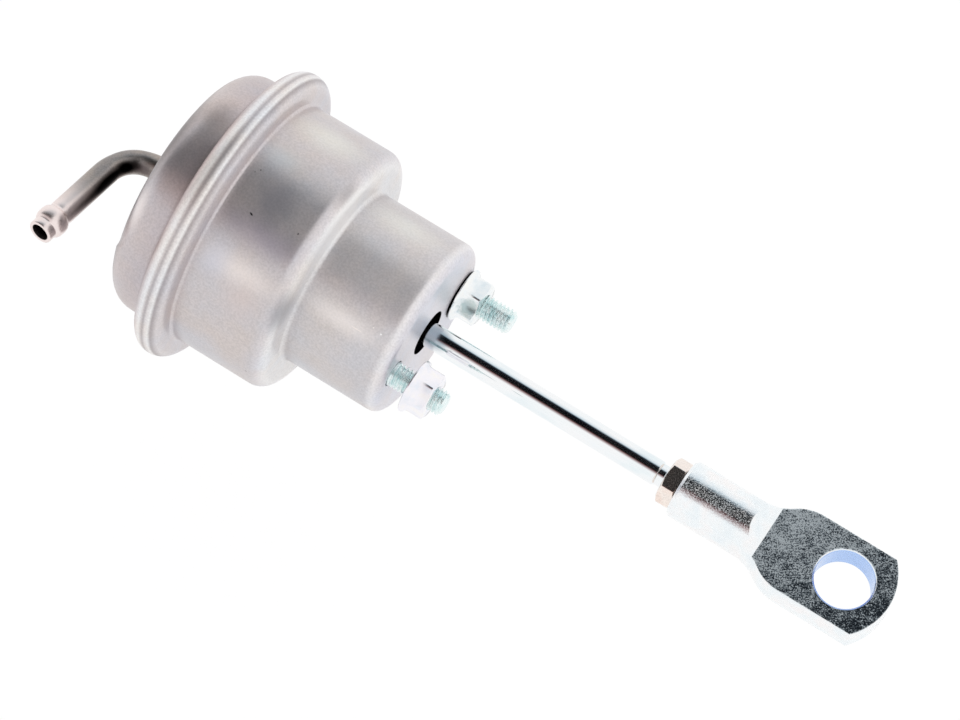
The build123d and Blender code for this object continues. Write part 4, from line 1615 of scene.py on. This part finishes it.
@dataclass(frozen=True)
class Room:
    """The floor, the white room with its dark strip, and the camera."""

    floor_drop: float = 60.0
    floor_size: float = 800.0
    camera_place: tuple[float, float, float] = (161.20, -543.49, 649.27)
    camera_ahead: tuple[float, float, float] = (-0.17190, 0.63312, -0.75472)
    camera_up: tuple[float, float, float] = (-0.51237, 0.59689, 0.61742)
    focal_pixels: float = 3816.0
    picture_width: float = 960.0
    sensor_width: float = 36.0
    near_clip: float = 0.01
    far_clip: float = 20.0
    paper_tone: str = "#f7f7f7"
    glow: float = 1.03
    glow_share: float = 0.85
    strip_first_deg: float = -60.0
    strip_last_deg: float = 80.0
    strip_side: float = 0.02
    strip_end: float = 0.16

    def build(self) -> None:
        """Sets up the floor, the light and the camera."""
        self.floor()
        self.world()
        self.camera()

    def camera(self) -> None:
        """Places the camera as it was fitted to the photograph."""
        ahead, up = Vector(self.camera_ahead).normalized(), Vector(self.camera_up)
        right = ahead.cross(up).normalized()
        up = right.cross(ahead)
        lens = bpy.data.cameras.new("camera")
        lens.sensor_width = self.sensor_width
        lens.lens = self.focal_pixels / self.picture_width * self.sensor_width
        lens.clip_start, lens.clip_end = self.near_clip, self.far_clip
        camera = bpy.data.objects.new("camera", lens)
        turn = Matrix((right, up, -ahead)).transposed().to_4x4()
        camera.matrix_world = Matrix.Translation(Vector(self.camera_place) * MM) @ turn
        bpy.context.scene.collection.objects.link(camera)
        bpy.context.scene.camera = camera

    def floor(self) -> None:
        """A plain white floor below the object, which keeps only a faint shadow."""
        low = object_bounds()[0].z / MM - self.floor_drop
        half = self.floor_size / 2
        corners = np.array([(-half, -half, low), (half, -half, low), (half, half, low), (-half, half, low)])
        floor = new_mesh("floor", corners, [(0, 1, 2, 3)])
        material = bpy.data.materials.new("white_studio_paper")
        material.use_nodes = True
        tree = material.node_tree
        tree.nodes.clear()
        ray = add_node(tree, "ShaderNodeLightPath").outputs
        seen = worked_out(tree, "MAXIMUM", ray["Is Camera Ray"], ray["Is Glossy Ray"])
        seen = worked_out(tree, "MAXIMUM", seen, ray["Is Transmission Ray"])
        share = worked_out(tree, "MULTIPLY", seen, self.glow_share)
        paper = add_node(tree, "ShaderNodeBsdfDiffuse", values={"Color": linear(self.paper_tone)})
        white = add_node(
            tree, "ShaderNodeEmission", values={"Color": linear("#ffffff"), "Strength": self.glow},
        )
        mixed = add_node(
            tree, "ShaderNodeMixShader",
            links={0: share, 1: paper.outputs["BSDF"], 2: white.outputs["Emission"]},
        )
        add_node(tree, "ShaderNodeOutputMaterial", links={"Surface": mixed.outputs["Shader"]})
        floor.data.materials.append(material)
        floor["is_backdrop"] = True

    def world(self) -> None:
        """A white room with a dark strip over the rod."""
        world = bpy.data.worlds.new("white_room")
        bpy.context.scene.world = world
        world.use_nodes = True
        tree = world.node_tree
        tree.nodes.clear()
        where = add_node(tree, "ShaderNodeTexCoord")
        parts = add_node(
            tree, "ShaderNodeSeparateXYZ", links={"Vector": where.outputs["Generated"]},
        ).outputs
        lean = worked_out(tree, "ARCTAN2", worked_out(tree, "MULTIPLY", parts["Y"], -1.0), parts["Z"])
        first, last = self.strip_first_deg, self.strip_last_deg
        tones = [
            (-45, "#ffffff"), (-28, "#eef2f5"), (-16, "#cad5dc"), (-10, "#56646e"), (-5, "#1e262e"),
            (4, "#0a0a10"), (34, "#08080a"), (41, "#664242"), (50, "#b8a6a6"), (64, "#ffffff"),
        ]
        strip = ramped(
            tree, ranged(tree, lean, math.radians(first), math.radians(last)),
            [((degrees - first) / (last - first), linear(tone)) for degrees, tone in tones],
        )
        front = ranged(tree, parts["X"], self.strip_side, self.strip_end, smooth=True)
        light = add_node(tree, "ShaderNodeBackground", values={"Color": linear("#ffffff"), "Strength": 1.0})
        mirrored = add_node(
            tree, "ShaderNodeBackground", values={"Strength": 1.0},
            links={"Color": overlaid(tree, front, strip, "#ffffff")},
        )
        ray = add_node(tree, "ShaderNodeLightPath").outputs
        both = add_node(
            tree, "ShaderNodeMixShader",
            links={0: ray["Is Glossy Ray"], 1: light.outputs[0], 2: mirrored.outputs[0]},
        )
        add_node(tree, "ShaderNodeOutputWorld", links={"Surface": both.outputs["Shader"]})


def main() -> None:
    """Builds the pieces in order, then the room."""
    logging.basicConfig(level=logging.INFO, format="%(name)s: %(message)s")
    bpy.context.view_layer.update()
    for assembly in (Canister(), HoseElbow(), Mounting(), SpringAndPiston(), RodAndEnd(), Room()):
        log.info("building %s", type(assembly).__name__)
        assembly.build()
    bpy.context.scene.view_settings.view_transform = "Standard"


if __name__ == "__main__":
    main()
